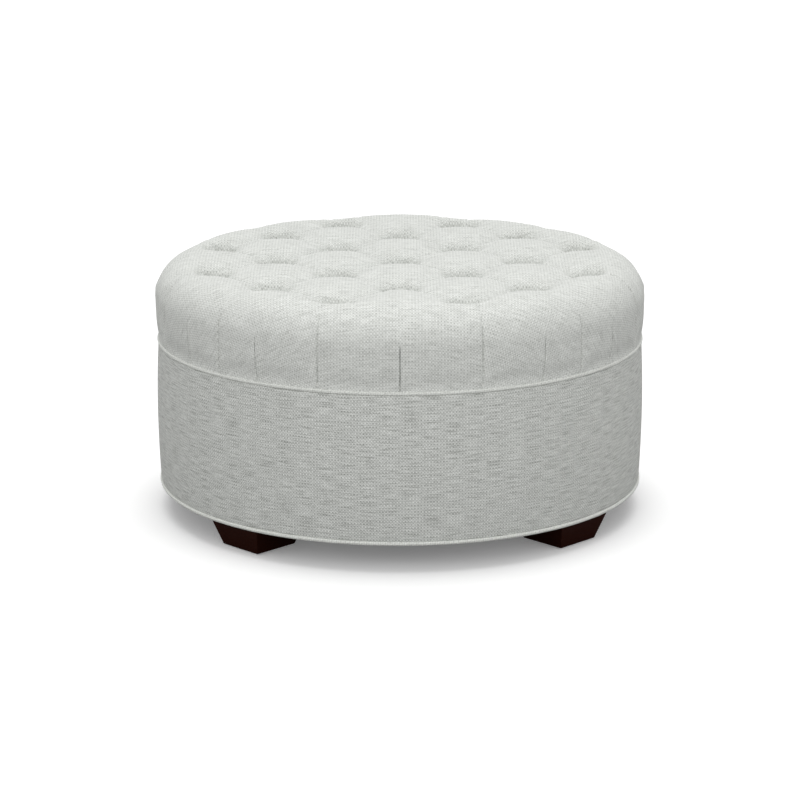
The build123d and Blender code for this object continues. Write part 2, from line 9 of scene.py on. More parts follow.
import logging
import math
from dataclasses import dataclass, field
from enum import Enum
import bmesh
import bpy
import numpy as np
from mathutils import Matrix
from mathutils.kdtree import KDTree


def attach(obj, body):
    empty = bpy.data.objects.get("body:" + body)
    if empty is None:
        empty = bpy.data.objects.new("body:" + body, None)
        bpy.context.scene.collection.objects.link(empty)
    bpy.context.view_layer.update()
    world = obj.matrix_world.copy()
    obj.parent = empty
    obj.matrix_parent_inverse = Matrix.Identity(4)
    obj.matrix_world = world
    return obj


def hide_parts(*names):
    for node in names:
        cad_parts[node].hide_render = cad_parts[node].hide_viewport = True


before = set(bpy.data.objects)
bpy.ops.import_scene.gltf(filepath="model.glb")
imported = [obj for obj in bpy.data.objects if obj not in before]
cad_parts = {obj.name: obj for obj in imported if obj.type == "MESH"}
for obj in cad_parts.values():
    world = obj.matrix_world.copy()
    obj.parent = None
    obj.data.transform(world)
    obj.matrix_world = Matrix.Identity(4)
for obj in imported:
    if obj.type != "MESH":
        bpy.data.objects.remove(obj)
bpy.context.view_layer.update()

MM = 0.001
WEAVE_MAP = "weave"
FULL_TURN = 2 * math.pi
QUARTER = math.pi / 2
WHITE = (1, 1, 1, 1)
# The angle, in radians, that a wave texture turns through in each unit of its scale
WAVE_RATE = 20
# Two places nearer than this count as one
NEAR = 0.1 * MM
log = logging.getLogger("ottoman")

Piece = bpy.types.Object
Tree = bpy.types.NodeTree
Socket = bpy.types.NodeSocket
Section = list[tuple[float, float]]


# Meshes


def start_clean() -> None:
    """Leaves nothing selected, so that an operator acts only on what comes next."""
    if bpy.context.object and bpy.context.object.mode != "OBJECT":
        bpy.ops.object.mode_set(mode="OBJECT")
    bpy.ops.object.select_all(action="DESELECT")


def take(pieces: list[Piece]) -> None:
    """Selects some pieces alone and makes the first one active.

    Args:
        pieces: the pieces.
    """
    start_clean()
    for piece in pieces:
        piece.select_set(True)
    bpy.context.view_layer.objects.active = pieces[0]


def joined(pieces: list[Piece]) -> Piece:
    """Joins pieces into one.

    Args:
        pieces: the pieces, none of which stays on its own.

    Returns:
        The one piece.
    """
    take(pieces)
    bpy.ops.object.join()
    return bpy.context.object


def read(rows: bpy.types.bpy_prop_collection, value: str, width: int, kind: type) -> np.ndarray:
    """Reads one value of every row of a mesh's collection.

    Args:
        rows: the collection, such as the vertices.
        value: the value's name.
        width: how many numbers it has.
        kind: the type of number.

    Returns:
        All the numbers in one flat array.
    """
    flat = np.zeros(len(rows) * width, kind)
    rows.foreach_get(value, flat)
    return flat


def points_of(piece: Piece) -> np.ndarray:
    """The piece's own vertex places, one a row."""
    return read(piece.data.vertices, "co", 3, np.float32).reshape(-1, 3).astype(float)


def move_points(piece: Piece, places: np.ndarray) -> None:
    """Puts every vertex of a piece at its new place."""
    piece.data.vertices.foreach_set("co", places.astype(np.float32).ravel())
    piece.data.update()


def apply_modifiers(piece: Piece) -> None:
    """Applies every modifier of a piece, in order.

    Args:
        piece: the piece.
    """
    take([piece])
    for name in [modifier.name for modifier in piece.modifiers]:
        bpy.ops.object.modifier_apply(modifier=name)


def settle(piece: Piece, smooth_degrees: float = 40.0) -> None:
    """Puts a piece's place into its mesh and shades it smooth up to an angle.

    Args:
        piece: the piece.
        smooth_degrees: the sharpest angle that is still shaded smooth.
    """
    take([piece])
    bpy.ops.object.transform_apply(location=True, rotation=True, scale=True)
    bpy.ops.object.shade_smooth_by_angle(angle=math.radians(smooth_degrees))


def turned(name: str, path: Section, steps: int) -> Piece:
    """Turns a half section about the Z axis, as on a lathe.

    Args:
        name: the new piece's name.
        path: radius and height of each point. Its last point is its first again for a closed ring.
        steps: the number of columns in the full turn.

    Returns:
        The piece, with its faces outwards.
    """
    start_clean()
    bpy.ops.mesh.primitive_plane_add(size=MM, location=(path[0][0], 0, path[0][1]))
    piece = bpy.context.object
    piece.name = piece.data.name = name
    bpy.ops.object.mode_set(mode="EDIT")
    bpy.ops.mesh.select_all(action="SELECT")
    bpy.ops.mesh.merge(type="CENTER")
    for here, there in zip(path, path[1:]):
        step = (there[0] - here[0], 0, there[1] - here[1])
        bpy.ops.mesh.extrude_region_move(TRANSFORM_OT_translate={"value": step})
    bpy.ops.mesh.select_all(action="SELECT")
    bpy.ops.mesh.spin(steps=steps, angle=FULL_TURN, center=(0, 0, 0), axis=(0, 0, 1))
    bpy.ops.mesh.select_all(action="SELECT")
    bpy.ops.mesh.remove_doubles(threshold=0.02 * MM)
    bpy.ops.mesh.normals_make_consistent(inside=False)
    bpy.ops.object.mode_set(mode="OBJECT")
    settle(piece)
    return piece


def thicken(piece: Piece, thickness: float, side: float, smooth_degrees: float = 40.0) -> None:
    """Gives a skin its wall and settles it.

    Args:
        piece: the skin.
        thickness: the wall's thickness.
        side: minus one for a wall on the inner side of the faces, and one for the outer side.
        smooth_degrees: the sharpest angle that is still shaded smooth.
    """
    wall = piece.modifiers.new("wall", "SOLIDIFY")
    wall.thickness = thickness
    wall.offset = side
    apply_modifiers(piece)
    settle(piece, smooth_degrees)


def arc_points(
    centre: tuple[float, float], radius: float, first: float, last: float, count: int
) -> Section:
    """Points of an arc in a half section, from one angle to another in degrees."""
    angles = np.radians(np.linspace(first, last, count))
    return [(centre[0] + radius * math.cos(a), centre[1] + radius * math.sin(a)) for a in angles]


def bearing_of(places: np.ndarray) -> np.ndarray:
    """The bearing of each place, in radians, zero at the front and rising towards +X."""
    return np.arctan2(places[:, 0], -places[:, 1])


def reach_of(places: np.ndarray) -> np.ndarray:
    """How far each place is from the Z axis."""
    return np.hypot(places[:, 0], places[:, 1])


def in_quarter(bearing: np.ndarray) -> np.ndarray:
    """The bearings measured from the front, side or back that each is nearest to."""
    return bearing - np.floor(bearing / QUARTER + 0.5) * QUARTER


def spun(reach: np.ndarray, bearing: np.ndarray, height: np.ndarray) -> np.ndarray:
    """Places, one a row, at distances from the Z axis, bearings and heights."""
    return np.column_stack([reach * np.sin(bearing), -reach * np.cos(bearing), height])


def nearest_on(
    places: np.ndarray, radius: np.ndarray, height: np.ndarray
) -> tuple[np.ndarray, np.ndarray]:
    """Finds the point of a half section that each place was turned from.

    Args:
        places: the places, one a row.
        radius: the radius of each point of the section.
        height: the height of each point of the section.

    Returns:
        The point's number for each place, and how far the place is from it.
    """
    gaps = np.abs(reach_of(places)[:, None] - radius) + np.abs(places[:, 2:3] - height)
    return gaps.argmin(axis=1), gaps.min(axis=1)


def corner_vertices(piece: Piece) -> np.ndarray:
    """The vertex number of each face corner."""
    return read(piece.data.loops, "vertex_index", 1, np.int32)


def corner_faces(piece: Piece) -> np.ndarray:
    """The face number of each face corner."""
    totals = read(piece.data.polygons, "loop_total", 1, np.int32)
    return np.repeat(np.arange(len(totals)), totals)


def face_bearings(piece: Piece) -> np.ndarray:
    """The bearing of the middle of each face corner's own face."""
    centres = read(piece.data.polygons, "center", 3, np.float32).reshape(-1, 3).astype(float)
    return bearing_of(centres)[corner_faces(piece)]


def corner_bearings(piece: Piece) -> tuple[np.ndarray, np.ndarray]:
    """The place and bearing of each face corner, with no jump inside a face at the back.

    Args:
        piece: the piece.

    Returns:
        The places, one a row, and the bearings.
    """
    places = points_of(piece)[corner_vertices(piece)]
    bearing = bearing_of(places)
    bearing += FULL_TURN * np.round((face_bearings(piece) - bearing) / FULL_TURN)
    return places, bearing


def lay_weave(piece: Piece, across: np.ndarray, along: np.ndarray) -> None:
    """Writes the cloth's own lengths as the piece's weave map, one pair a face corner."""
    layer = piece.data.uv_layers.new(name=WEAVE_MAP)
    layer.data.foreach_set("uv", np.column_stack([across, along]).astype(np.float32).ravel())


def finish_piece(
    piece: Piece, coat: bpy.types.Material, stands_for: tuple[str, ...]
) -> None:
    """Gives a piece its finish, the nodes that it stands for, and its body.

    Args:
        piece: the piece.
        coat: its material.
        stands_for: the frame's nodes that it replaces.
    """
    piece.data.materials.clear()
    piece.data.materials.append(coat)
    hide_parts(*stands_for)
    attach(piece, "root")
    log.info("%s: %d faces, for %s", piece.name, len(piece.data.polygons), ", ".join(stands_for))


# Finishes


def linear(code: str) -> tuple[float, float, float, float]:
    """Turns an sRGB hex colour, such as #A4A6A1, into linear light.

    Args:
        code: the colour.

    Returns:
        Red, green, blue and an alpha of one.
    """
    shares = [int(code[k : k + 2], 16) / 255 for k in (1, 3, 5)]
    lit = [s / 12.92 if s <= 0.04045 else ((s + 0.055) / 1.055) ** 2.4 for s in shares]
    return (lit[0], lit[1], lit[2], 1.0)


def put(
    tree: Tree,
    kind: str,
    settings: dict | None = None,
    values: dict | None = None,
    links: dict | None = None,
) -> bpy.types.Node:
    """Adds one node to a tree.

    Args:
        tree: the node tree.
        kind: the node's type name without its ShaderNode start.
        settings: the node's own properties.
        values: constants for its inputs, by name or number.
        links: what feeds its inputs, by name or number: a socket, or a node's first one.

    Returns:
        The new node.
    """
    made = tree.nodes.new("ShaderNode" + kind)
    for key, value in (settings or {}).items():
        setattr(made, key, value)
    for key, value in (values or {}).items():
        made.inputs[key].default_value = value
    for key, source in (links or {}).items():
        socket = source.outputs[0] if isinstance(source, bpy.types.Node) else source
        tree.links.new(socket, made.inputs[key])
    return made


def bare_tree(holder: bpy.types.Material | bpy.types.World) -> Tree:
    """Gives a material or a world an empty node tree.

    Args:
        holder: the material or world.

    Returns:
        Its node tree.
    """
    holder.use_nodes = True
    holder.node_tree.nodes.clear()
    return holder.node_tree


@dataclass(frozen=True)
class Finish:
    """A finish that every other one starts from: two tones, a grain and a fine relief."""

    name: str
    dark: str
    light: str
    roughness: float = 0.8
    metallic: float = 0.0
    grain_mm: tuple[float, float, float] = (4.0, 4.0, 4.0)
    relief_mm: float = 0.1

    def tone(self, tree: Tree) -> tuple[Socket, Socket]:
        """The share of the light tone and the height of the relief: here one grain for both.

        Args:
            tree: the material's node tree.

        Returns:
            The two sockets.
        """
        spot = put(tree, "TexCoord")
        scale = tuple(1 / (MM * size) for size in self.grain_mm)
        laid = put(tree, "Mapping", values={"Scale": scale}, links={0: spot.outputs["Object"]})
        grain = put(tree, "TexNoise", values={"Scale": 1.0, "Detail": 3.0}, links={0: laid})
        return grain.outputs[0], grain.outputs[0]

    def make(self) -> bpy.types.Material:
        """Builds the material.

        Returns:
            The material.
        """
        coat = bpy.data.materials.new(self.name)
        tree = bare_tree(coat)
        share, height = self.tone(tree)
        tones = {6: linear(self.dark), 7: linear(self.light)}
        colour = put(tree, "Mix", {"data_type": "RGBA"}, tones, {0: share})
        depth = {"Strength": 1.0, "Distance": self.relief_mm * MM}
        relief = put(tree, "Bump", values=depth, links={"Height": height})
        surface = {"Roughness": self.roughness, "Metallic": self.metallic, **self.extras()}
        feeds = {"Base Color": colour.outputs[2], "Normal": relief}
        shader = put(tree, "BsdfPrincipled", values=surface, links=feeds)
        put(tree, "OutputMaterial", links={"Surface": shader})
        return coat

    def extras(self) -> dict:
        """More constants for the shader."""
        return {}


@dataclass(frozen=True)
class WovenCloth(Finish):
    """A linen-look polyester basket weave: paired threads that show as dots, and dark slubs.

    The real thread is under a millimetre thick and too fine to show, so that each pair of
    threads is drawn as one, 2.8 mm by 3.05 mm. A slub is a thick place in a weft thread.
    """

    warp_mm: float = 2.8
    weft_mm: float = 3.05
    weft_lift: float = 0.35
    sway_mm: float = 0.9
    sway_length_mm: float = 22.0
    slub_length_mm: float = 38.0
    slub_width_mm: float = 1.5
    slub_starts: float = 0.42
    slub_full: float = 0.70
    turn_degrees: float = 0.0
    middle_share: float = 0.62
    dot_share: float = 0.22
    speck_share: float = 0.20
    slub_share: float = 0.34

    def tone(self, tree: Tree) -> tuple[Socket, Socket]:
        """The dots of the weave, each a little different, crossed by slubs along the weft.

        Args:
            tree: the material's node tree.

        Returns:
            The share of the light tone, and the dots alone for the relief.
        """
        multiply, multiply_add = {"operation": "MULTIPLY"}, {"operation": "MULTIPLY_ADD"}
        cloth = put(tree, "UVMap", {"uv_map": WEAVE_MAP})
        bias = (0, 0, math.radians(self.turn_degrees))
        laid = put(tree, "Mapping", values={"Rotation": bias}, links={0: cloth})
        slow = {"Scale": 1 / (self.sway_length_mm * MM), "Detail": 1.0}
        sway = put(tree, "TexNoise", values=slow, links={0: laid})
        sways = {1: (self.sway_mm * MM,) * 3}
        moved = {0: sway.outputs["Color"], 2: laid}
        swayed = put(tree, "VectorMath", multiply_add, sways, moved)
        pairs = {1: (math.pi / (self.warp_mm * MM), math.pi / (self.weft_mm * MM), 0)}
        threads = put(tree, "VectorMath", multiply, pairs, {0: swayed})
        waves = put(tree, "VectorMath", {"operation": "SINE"}, links={0: threads})
        wave = put(tree, "SeparateXYZ", links={0: waves})
        weft = put(tree, "Math", {"operation": "ADD"}, {1: self.weft_lift}, {0: wave.outputs[1]})
        dots = put(tree, "Math", multiply, links={0: wave, 1: weft})
        halves = {1: (1 / math.pi, 1 / math.pi, 0)}
        counted = put(tree, "VectorMath", multiply, halves, {0: threads})
        cell = put(tree, "VectorMath", {"operation": "FLOOR"}, links={0: counted})
        speck = put(tree, "TexWhiteNoise", {"noise_dimensions": "2D"}, links={"Vector": cell})
        slub_scale = (1 / (self.slub_length_mm * MM), 1 / (self.slub_width_mm * MM), 1.0)
        drawn = put(tree, "Mapping", values={"Scale": slub_scale}, links={0: laid})
        slub = put(tree, "TexNoise", values={"Scale": 1.0, "Detail": 1.0}, links={0: drawn})
        slubs = {1: self.slub_starts, 2: self.slub_full, 3: 0.0, 4: 1.0}
        marks = put(tree, "MapRange", values=slubs, links={0: slub})
        dotted = {1: self.dot_share, 2: self.middle_share}
        light = put(tree, "Math", multiply_add, dotted, {0: dots})
        specked = put(tree, "Math", multiply_add, {1: self.speck_share}, {0: speck, 2: light})
        clamped = {**multiply_add, "use_clamp": True}
        share = put(tree, "Math", clamped, {1: -self.slub_share}, {0: marks, 2: specked})
        return share.outputs[0], dots.outputs[0]

    def extras(self) -> dict:
        """A little fuzz on the cloth."""
        return {"Sheen Weight": 0.06, "Sheen Roughness": 0.5, "Specular IOR Level": 0.2}


@dataclass(frozen=True)
class StainedWood(Finish):
    """Hardwood under a dark stain and a thin wiped finish: a faint grain and hardly a mirror."""

    coat_weight: float = 0.01
    coat_roughness: float = 0.35
    mirror_level: float = 0.01

    def extras(self) -> dict:
        """The thin finish over the stain."""
        coat = {"Coat Weight": self.coat_weight, "Coat Roughness": self.coat_roughness}
        return {**coat, "Specular IOR Level": self.mirror_level}


@dataclass(frozen=True)
class Layered(Finish):
    """Rotary-cut plywood: long pale grain, and darker glue lines between the plies.

    A ply is 1.5 mm thick. One band stands for about six, so that the bands show.
    """

    band_mm: float = 9.424778
    band_bend: float = 0.4
    band_share: float = 0.25

    def tone(self, tree: Tree) -> tuple[Socket, Socket]:
        """The grain of the face, banded by height where the edge shows its plies.

        Args:
            tree: the material's node tree.

        Returns:
            The banded grain, and the plain one for the relief.
        """
        grain, height = super().tone(tree)
        spot = put(tree, "TexCoord")
        scale = FULL_TURN / (WAVE_RATE * self.band_mm * MM)
        wave = {"Scale": scale, "Distortion": self.band_bend}
        place = {0: spot.outputs["Object"]}
        bands = put(tree, "TexWave", {"bands_direction": "Z"}, wave, place)
        feeds = {0: bands.outputs[1], 2: grain}
        banded = put(tree, "Math", {"operation": "MULTIPLY_ADD"}, {1: self.band_share}, feeds)
        return banded.outputs[0], height


@dataclass(frozen=True)
class Celled(Finish):
    """A surface of small cells: open foam, or the bond dots of a spun cloth."""

    cell_mm: float = 1.6

    def tone(self, tree: Tree) -> tuple[Socket, Socket]:
        """The distance to the middle of the nearest cell.

        Args:
            tree: the material's node tree.

        Returns:
            The distance, for both the tone and the relief.
        """
        spot = put(tree, "TexCoord")
        size = {"Scale": 1 / (self.cell_mm * MM)}
        cells = put(tree, "TexVoronoi", values=size, links={0: spot.outputs["Object"]})
        return cells.outputs[0], cells.outputs[0]


# Matt polyester, piece-dyed pale grey-green: it reads as light dots on grey, with no gloss.
# The drum's slubs are darker than the crown's, and the welts' bias cut hides most of them.
CROWN_CLOTH = WovenCloth("pale_basket_weave_crown", "#A4A6A1", "#F0F2EE", 0.95, relief_mm=0.14)
DRUM_CLOTH = WovenCloth(
    "pale_basket_weave_drum", "#9A9C97", "#F0F2EE", 0.95, relief_mm=0.3, slub_share=0.48
)
WELT_CLOTH = WovenCloth(
    "pale_basket_weave_bias",
    "#B2B4AF",
    "#F2F4EF",
    0.95,
    relief_mm=0.25,
    turn_degrees=45.0,
    slub_share=0.15,
)
# Maple wiped with a nearly black stain: the fine level grain only just shows
ESPRESSO = StainedWood(
    "espresso_stained_maple", "#160401", "#2A0D05", 0.5, grain_mm=(60.0, 2.5, 2.5), relief_mm=0.05
)
# Sanded birch: pale, with a long broad figure
PLYWOOD = Layered("birch_plywood", "#B08A5C", "#DDBF92", 0.6, grain_mm=(90.0, 6.0, 3.0))
# Planed pine: yellow with grain 5 mm wide along each board, and a dull sheen from the planer
PINE_UPRIGHT = Finish("planed_pine_upright", "#B98F58", "#E2C491", 0.55, grain_mm=(5.0, 5.0, 120.0))
PINE_ACROSS = Finish("planed_pine_across", "#B98F58", "#E2C491", 0.55, grain_mm=(120.0, 5.0, 5.0))
PINE_ALONG = Finish("planed_pine_along", "#B98F58", "#E2C491", 0.55, grain_mm=(5.0, 120.0, 5.0))
# Cut foam: cream, with open cells. A real cell is about 0.8 mm, drawn twice as coarse to show
FOAM = Celled("cut_polyurethane_foam", "#CFC49A", "#F0E8C9", 0.9, relief_mm=0.5)
# Bonded wadding: white and hairy, its fibres lying one way
WADDING = Finish("bonded_polyester_wadding", "#DAD9D4", "#F6F6F3", 0.95, grain_mm=(14.0, 3.0, 3.0))
# Spun cloth: black, with a dot of bond every 1.3 mm
DUST_CLOTH = Celled("spunbonded_black_cloth", "#050505", "#1B1B1C", 0.9, cell_mm=1.3)
# Zinc plate: a cool grey metal, a little cloudy
ZINC = Finish(
    "zinc_plated_steel", "#8D9094", "#C9CCD0", 0.34, 1.0, grain_mm=(3.0, 3.0, 3.0), relief_mm=0.02
)
# Pressed felt: dull brown-grey, with short fibres every way
FELT = Finish("pressed_wool_felt", "#3A342E", "#5B5249", 1.0, grain_mm=(0.8, 0.8, 0.8))
# Pressed board: brown and dull, layered flat
BOARD = Finish("pressed_cardboard", "#94784F", "#BFA176", 0.9, grain_mm=(9.0, 9.0, 1.5))
# Moulded nylon: black, with a fine satin from the mould
MOULDED = Finish("moulded_black_nylon", "#141414", "#262626", 0.5, grain_mm=(0.6, 0.6, 0.6))
# Waxed twine: pale straw with a soft shine
TWINE = Finish("waxed_tufting_twine", "#B4A682", "#E2D8BC", 0.5, grain_mm=(0.5, 0.5, 1.2))
# Twisted paper: off-white and dull, with a short slanting lay
PIPING = Finish("twisted_paper_piping", "#CBC5B3", "#EFEBDF", 0.85, grain_mm=(2.5, 2.5, 1.2))


# The crown


@dataclass
class TuftLayout:
    """Where the tufts stand, on a grid turned by 45 degrees, and how they press the cloth.

    Each limit is a distance from the middle, squared, in steps of the grid.
    """

    step: float = 115.4 * MM
    tuft_limit: int = 10
    ring_limit: int = 4
    puff_limit: int = 5
    rim_from: float = 3.0
    valley_depth: float = 9.0 * MM
    valley_reach: float = 42.0 * MM
    puff_rise: float = 7.0 * MM
    seat_depth: float = 34.5 * MM
    bowl_radius: float = 34.0 * MM
    bowl_reach: float = 64.0 * MM
    bowl_fade: float = 0.3
    wall_slope: float = 3.6
    rim_squeeze: float = 1.6
    lobe_rise: float = 3.5 * MM
    softness: float = 2.0 * MM
    tufts: list[tuple[int, int]] = field(init=False)
    star: list[tuple[int, int]] = field(init=False)
    puffs: set[tuple[int, int]] = field(init=False)

    def __post_init__(self) -> None:
        """Counts the grid places of the tufts, of the ring round the puffs, and of the puffs."""
        places = [(i, j, i * i + j * j) for i in range(-3, 4) for j in range(-3, 4)]
        even = [place for place in places if (place[0] + place[1]) % 2 == 0]
        odd = [place for place in places if (place[0] + place[1]) % 2 == 1]
        self.tufts = [(i, j) for i, j, far in even if far <= self.tuft_limit]
        ring = [(i, j) for i, j, far in even if self.ring_limit <= far <= self.tuft_limit]
        self.star = sorted(ring, key=lambda place: math.atan2(place[1], place[0]))
        self.puffs = {(i, j) for i, j, far in odd if far <= self.puff_limit}

    def on_puffs(self, x: np.ndarray, y: np.ndarray) -> np.ndarray:
        """Whether each place lies on one of the diamond puffs inside the ring of tufts.

        Args:
            x: how far each place lies along X.
            y: how far each place lies along Y.

        Returns:
            True or false for each place.
        """
        p = np.floor((x + y) / (2 * self.step)).astype(int)
        q = np.floor((y - x) / (2 * self.step)).astype(int)
        inside = np.zeros(len(x), bool)
        for i, j in self.puffs:
            inside |= (p - q == i) & (p + q + 1 == j)
        return inside

    def crease(self, distance: np.ndarray) -> np.ndarray:
        """How far the crease between two puffs presses the cloth at a distance from it."""
        return self.valley_depth * np.clip(1 - distance / self.valley_reach, 0, 1) ** 2

    def to_ring(self, x: np.ndarray, y: np.ndarray) -> np.ndarray:
        """Distance from each place to every line of the ring of tufts round the puffs.

        Args:
            x: how far each place lies along X.
            y: how far each place lies along Y.

        Returns:
            One row for each line, and one column for each place.
        """
        gaps = []
        for start, end in zip(self.star, self.star[1:] + self.star[:1]):
            a, b = np.array(start) * self.step, np.array(end) * self.step
            run = b - a
            share = np.clip(((x - a[0]) * run[0] + (y - a[1]) * run[1]) / (run @ run), 0, 1)
            gaps.append(np.hypot(x - a[0] - share * run[0], y - a[1] - share * run[1]))
        return np.array(gaps)

    def to_creases(self, x: np.ndarray, y: np.ndarray) -> tuple[np.ndarray, np.ndarray]:
        """Distance from each place to the nearest crease, in each of the grid's directions.

        Args:
            x: how far each place lies along X.
            y: how far each place lies along Y.

        Returns:
            The two distances of each place.
        """
        side = math.sqrt(2) * self.step
        p = (x + y) / math.sqrt(2) / side
        q = (y - x) / math.sqrt(2) / side
        return side * np.abs(p - np.round(p)), side * np.abs(q - np.round(q))

    def valleys(self, x: np.ndarray, y: np.ndarray) -> np.ndarray:
        """How far creases press the cloth, less the rise of the puffs between them.

        Args:
            x: how far each place lies along X.
            y: how far each place lies along Y.

        Returns:
            The depth of each place.
        """
        side = math.sqrt(2) * self.step
        across, along = self.to_creases(x, y)
        domes = (1 - (1 - 2 * across / side) ** 2) * (1 - (1 - 2 * along / side) ** 2)
        inner = self.crease(across) + self.crease(along) - self.puff_rise * domes
        outer = self.crease(self.to_ring(x, y)).sum(axis=0)
        return np.where(self.on_puffs(x, y), inner, outer)

    def to_lines(self, x: np.ndarray, y: np.ndarray) -> np.ndarray:
        """Distance from each place to the nearest crease or tuft.

        Args:
            x: how far each place lies along X.
            y: how far each place lies along Y.

        Returns:
            The distance of each place.
        """
        inner = np.minimum(*self.to_creases(x, y))
        return np.where(self.on_puffs(x, y), inner, self.to_ring(x, y).min(axis=0))

    def bowls(self, x: np.ndarray, y: np.ndarray) -> np.ndarray:
        """How far the nearest tuft alone presses the cloth: a round lip, then a steep wall.

        Args:
            x: how far each place lies along X.
            y: how far each place lies along Y.

        Returns:
            The depth of each place.
        """
        near = np.full(len(x), np.inf)
        for i, j in self.tufts:
            far = math.hypot(i, j)
            across, beyond = (j * x - i * y) / max(far, 1), (i * x + j * y) / max(far, 1)
            beyond -= far * self.step
            if far == 0:
                across, beyond = x, y
            elif far > self.rim_from:
                beyond = np.where(beyond > 0, beyond * self.rim_squeeze, beyond)
            near = np.minimum(near, np.hypot(across, beyond))
        steepest = self.bowl_radius * self.wall_slope / math.hypot(1, self.wall_slope)
        inward = np.clip(self.bowl_reach - near, 0, None)
        lip = self.bowl_radius - np.sqrt(self.bowl_radius**2 - np.minimum(inward, steepest) ** 2)
        wall = lip + self.wall_slope * np.clip(inward - steepest, 0, None)
        fade = self.bowl_fade * np.clip(near - self.bowl_reach, 0, None)
        return np.minimum(wall, self.seat_depth) - fade

    def press(self, x: np.ndarray, y: np.ndarray) -> np.ndarray:
        """How far the cloth is pressed in at each place, tufts and creases together.

        Args:
            x: how far each place lies along X.
            y: how far each place lies along Y.

        Returns:
            The depth of each place.
        """
        lines, bowls = self.valleys(x, y), self.bowls(x, y)
        either = (lines + bowls + np.sqrt((lines - bowls) ** 2 + self.softness**2)) / 2
        return either - self.softness**2 / (4 * (np.abs(lines - bowls) + self.softness))


@dataclass
class CrownLine:
    """The crown's smooth outer line, measured along the cloth from the middle to the seam."""

    top: float = 469.5 * MM
    radius: float = 453.4 * MM
    shoulder: float = 65.0 * MM
    swell_height: float = 372.0 * MM
    seam_height: float = 328.0 * MM
    seam_draw: float = 0.4 * MM

    def lengths(self) -> tuple[float, float, float, float]:
        """The lengths of the flat, the shoulder, the upright and the drawn-in side.

        Returns:
            The four lengths, from the middle outwards.
        """
        drop = self.swell_height - self.seam_height
        upright = self.top - self.shoulder - self.swell_height
        side = math.asin(drop / self.side_arc()) * self.side_arc()
        return self.radius - self.shoulder, QUARTER * self.shoulder, upright, side

    def side_arc(self) -> float:
        """The radius of the arc by which the side draws in to the seam."""
        drop = self.swell_height - self.seam_height
        return (self.seam_draw**2 + drop**2) / (2 * self.seam_draw)

    def at(self, along: np.ndarray) -> tuple[np.ndarray, np.ndarray, np.ndarray, np.ndarray]:
        """The line at given lengths.

        Args:
            along: lengths from the middle of the top.

        Returns:
            Radius, height, and the outward normal's radial and upward parts.
        """
        flat, bend, upright, _ = self.lengths()
        turn = np.clip((along - flat) / self.shoulder, 0, QUARTER)
        below = np.clip(along - flat - bend, 0, upright)
        back = np.clip((along - flat - bend - upright) / self.side_arc(), 0, None)
        lean = turn + back
        radius = np.minimum(along, flat) + self.shoulder * np.sin(turn)
        radius -= self.side_arc() * (1 - np.cos(back))
        height = self.top - self.shoulder * (1 - np.cos(turn)) - below
        height -= self.side_arc() * np.sin(back)
        return radius, height, np.sin(lean), np.cos(lean)

    def whole(self) -> float:
        """The length of the whole line."""
        return sum(self.lengths())


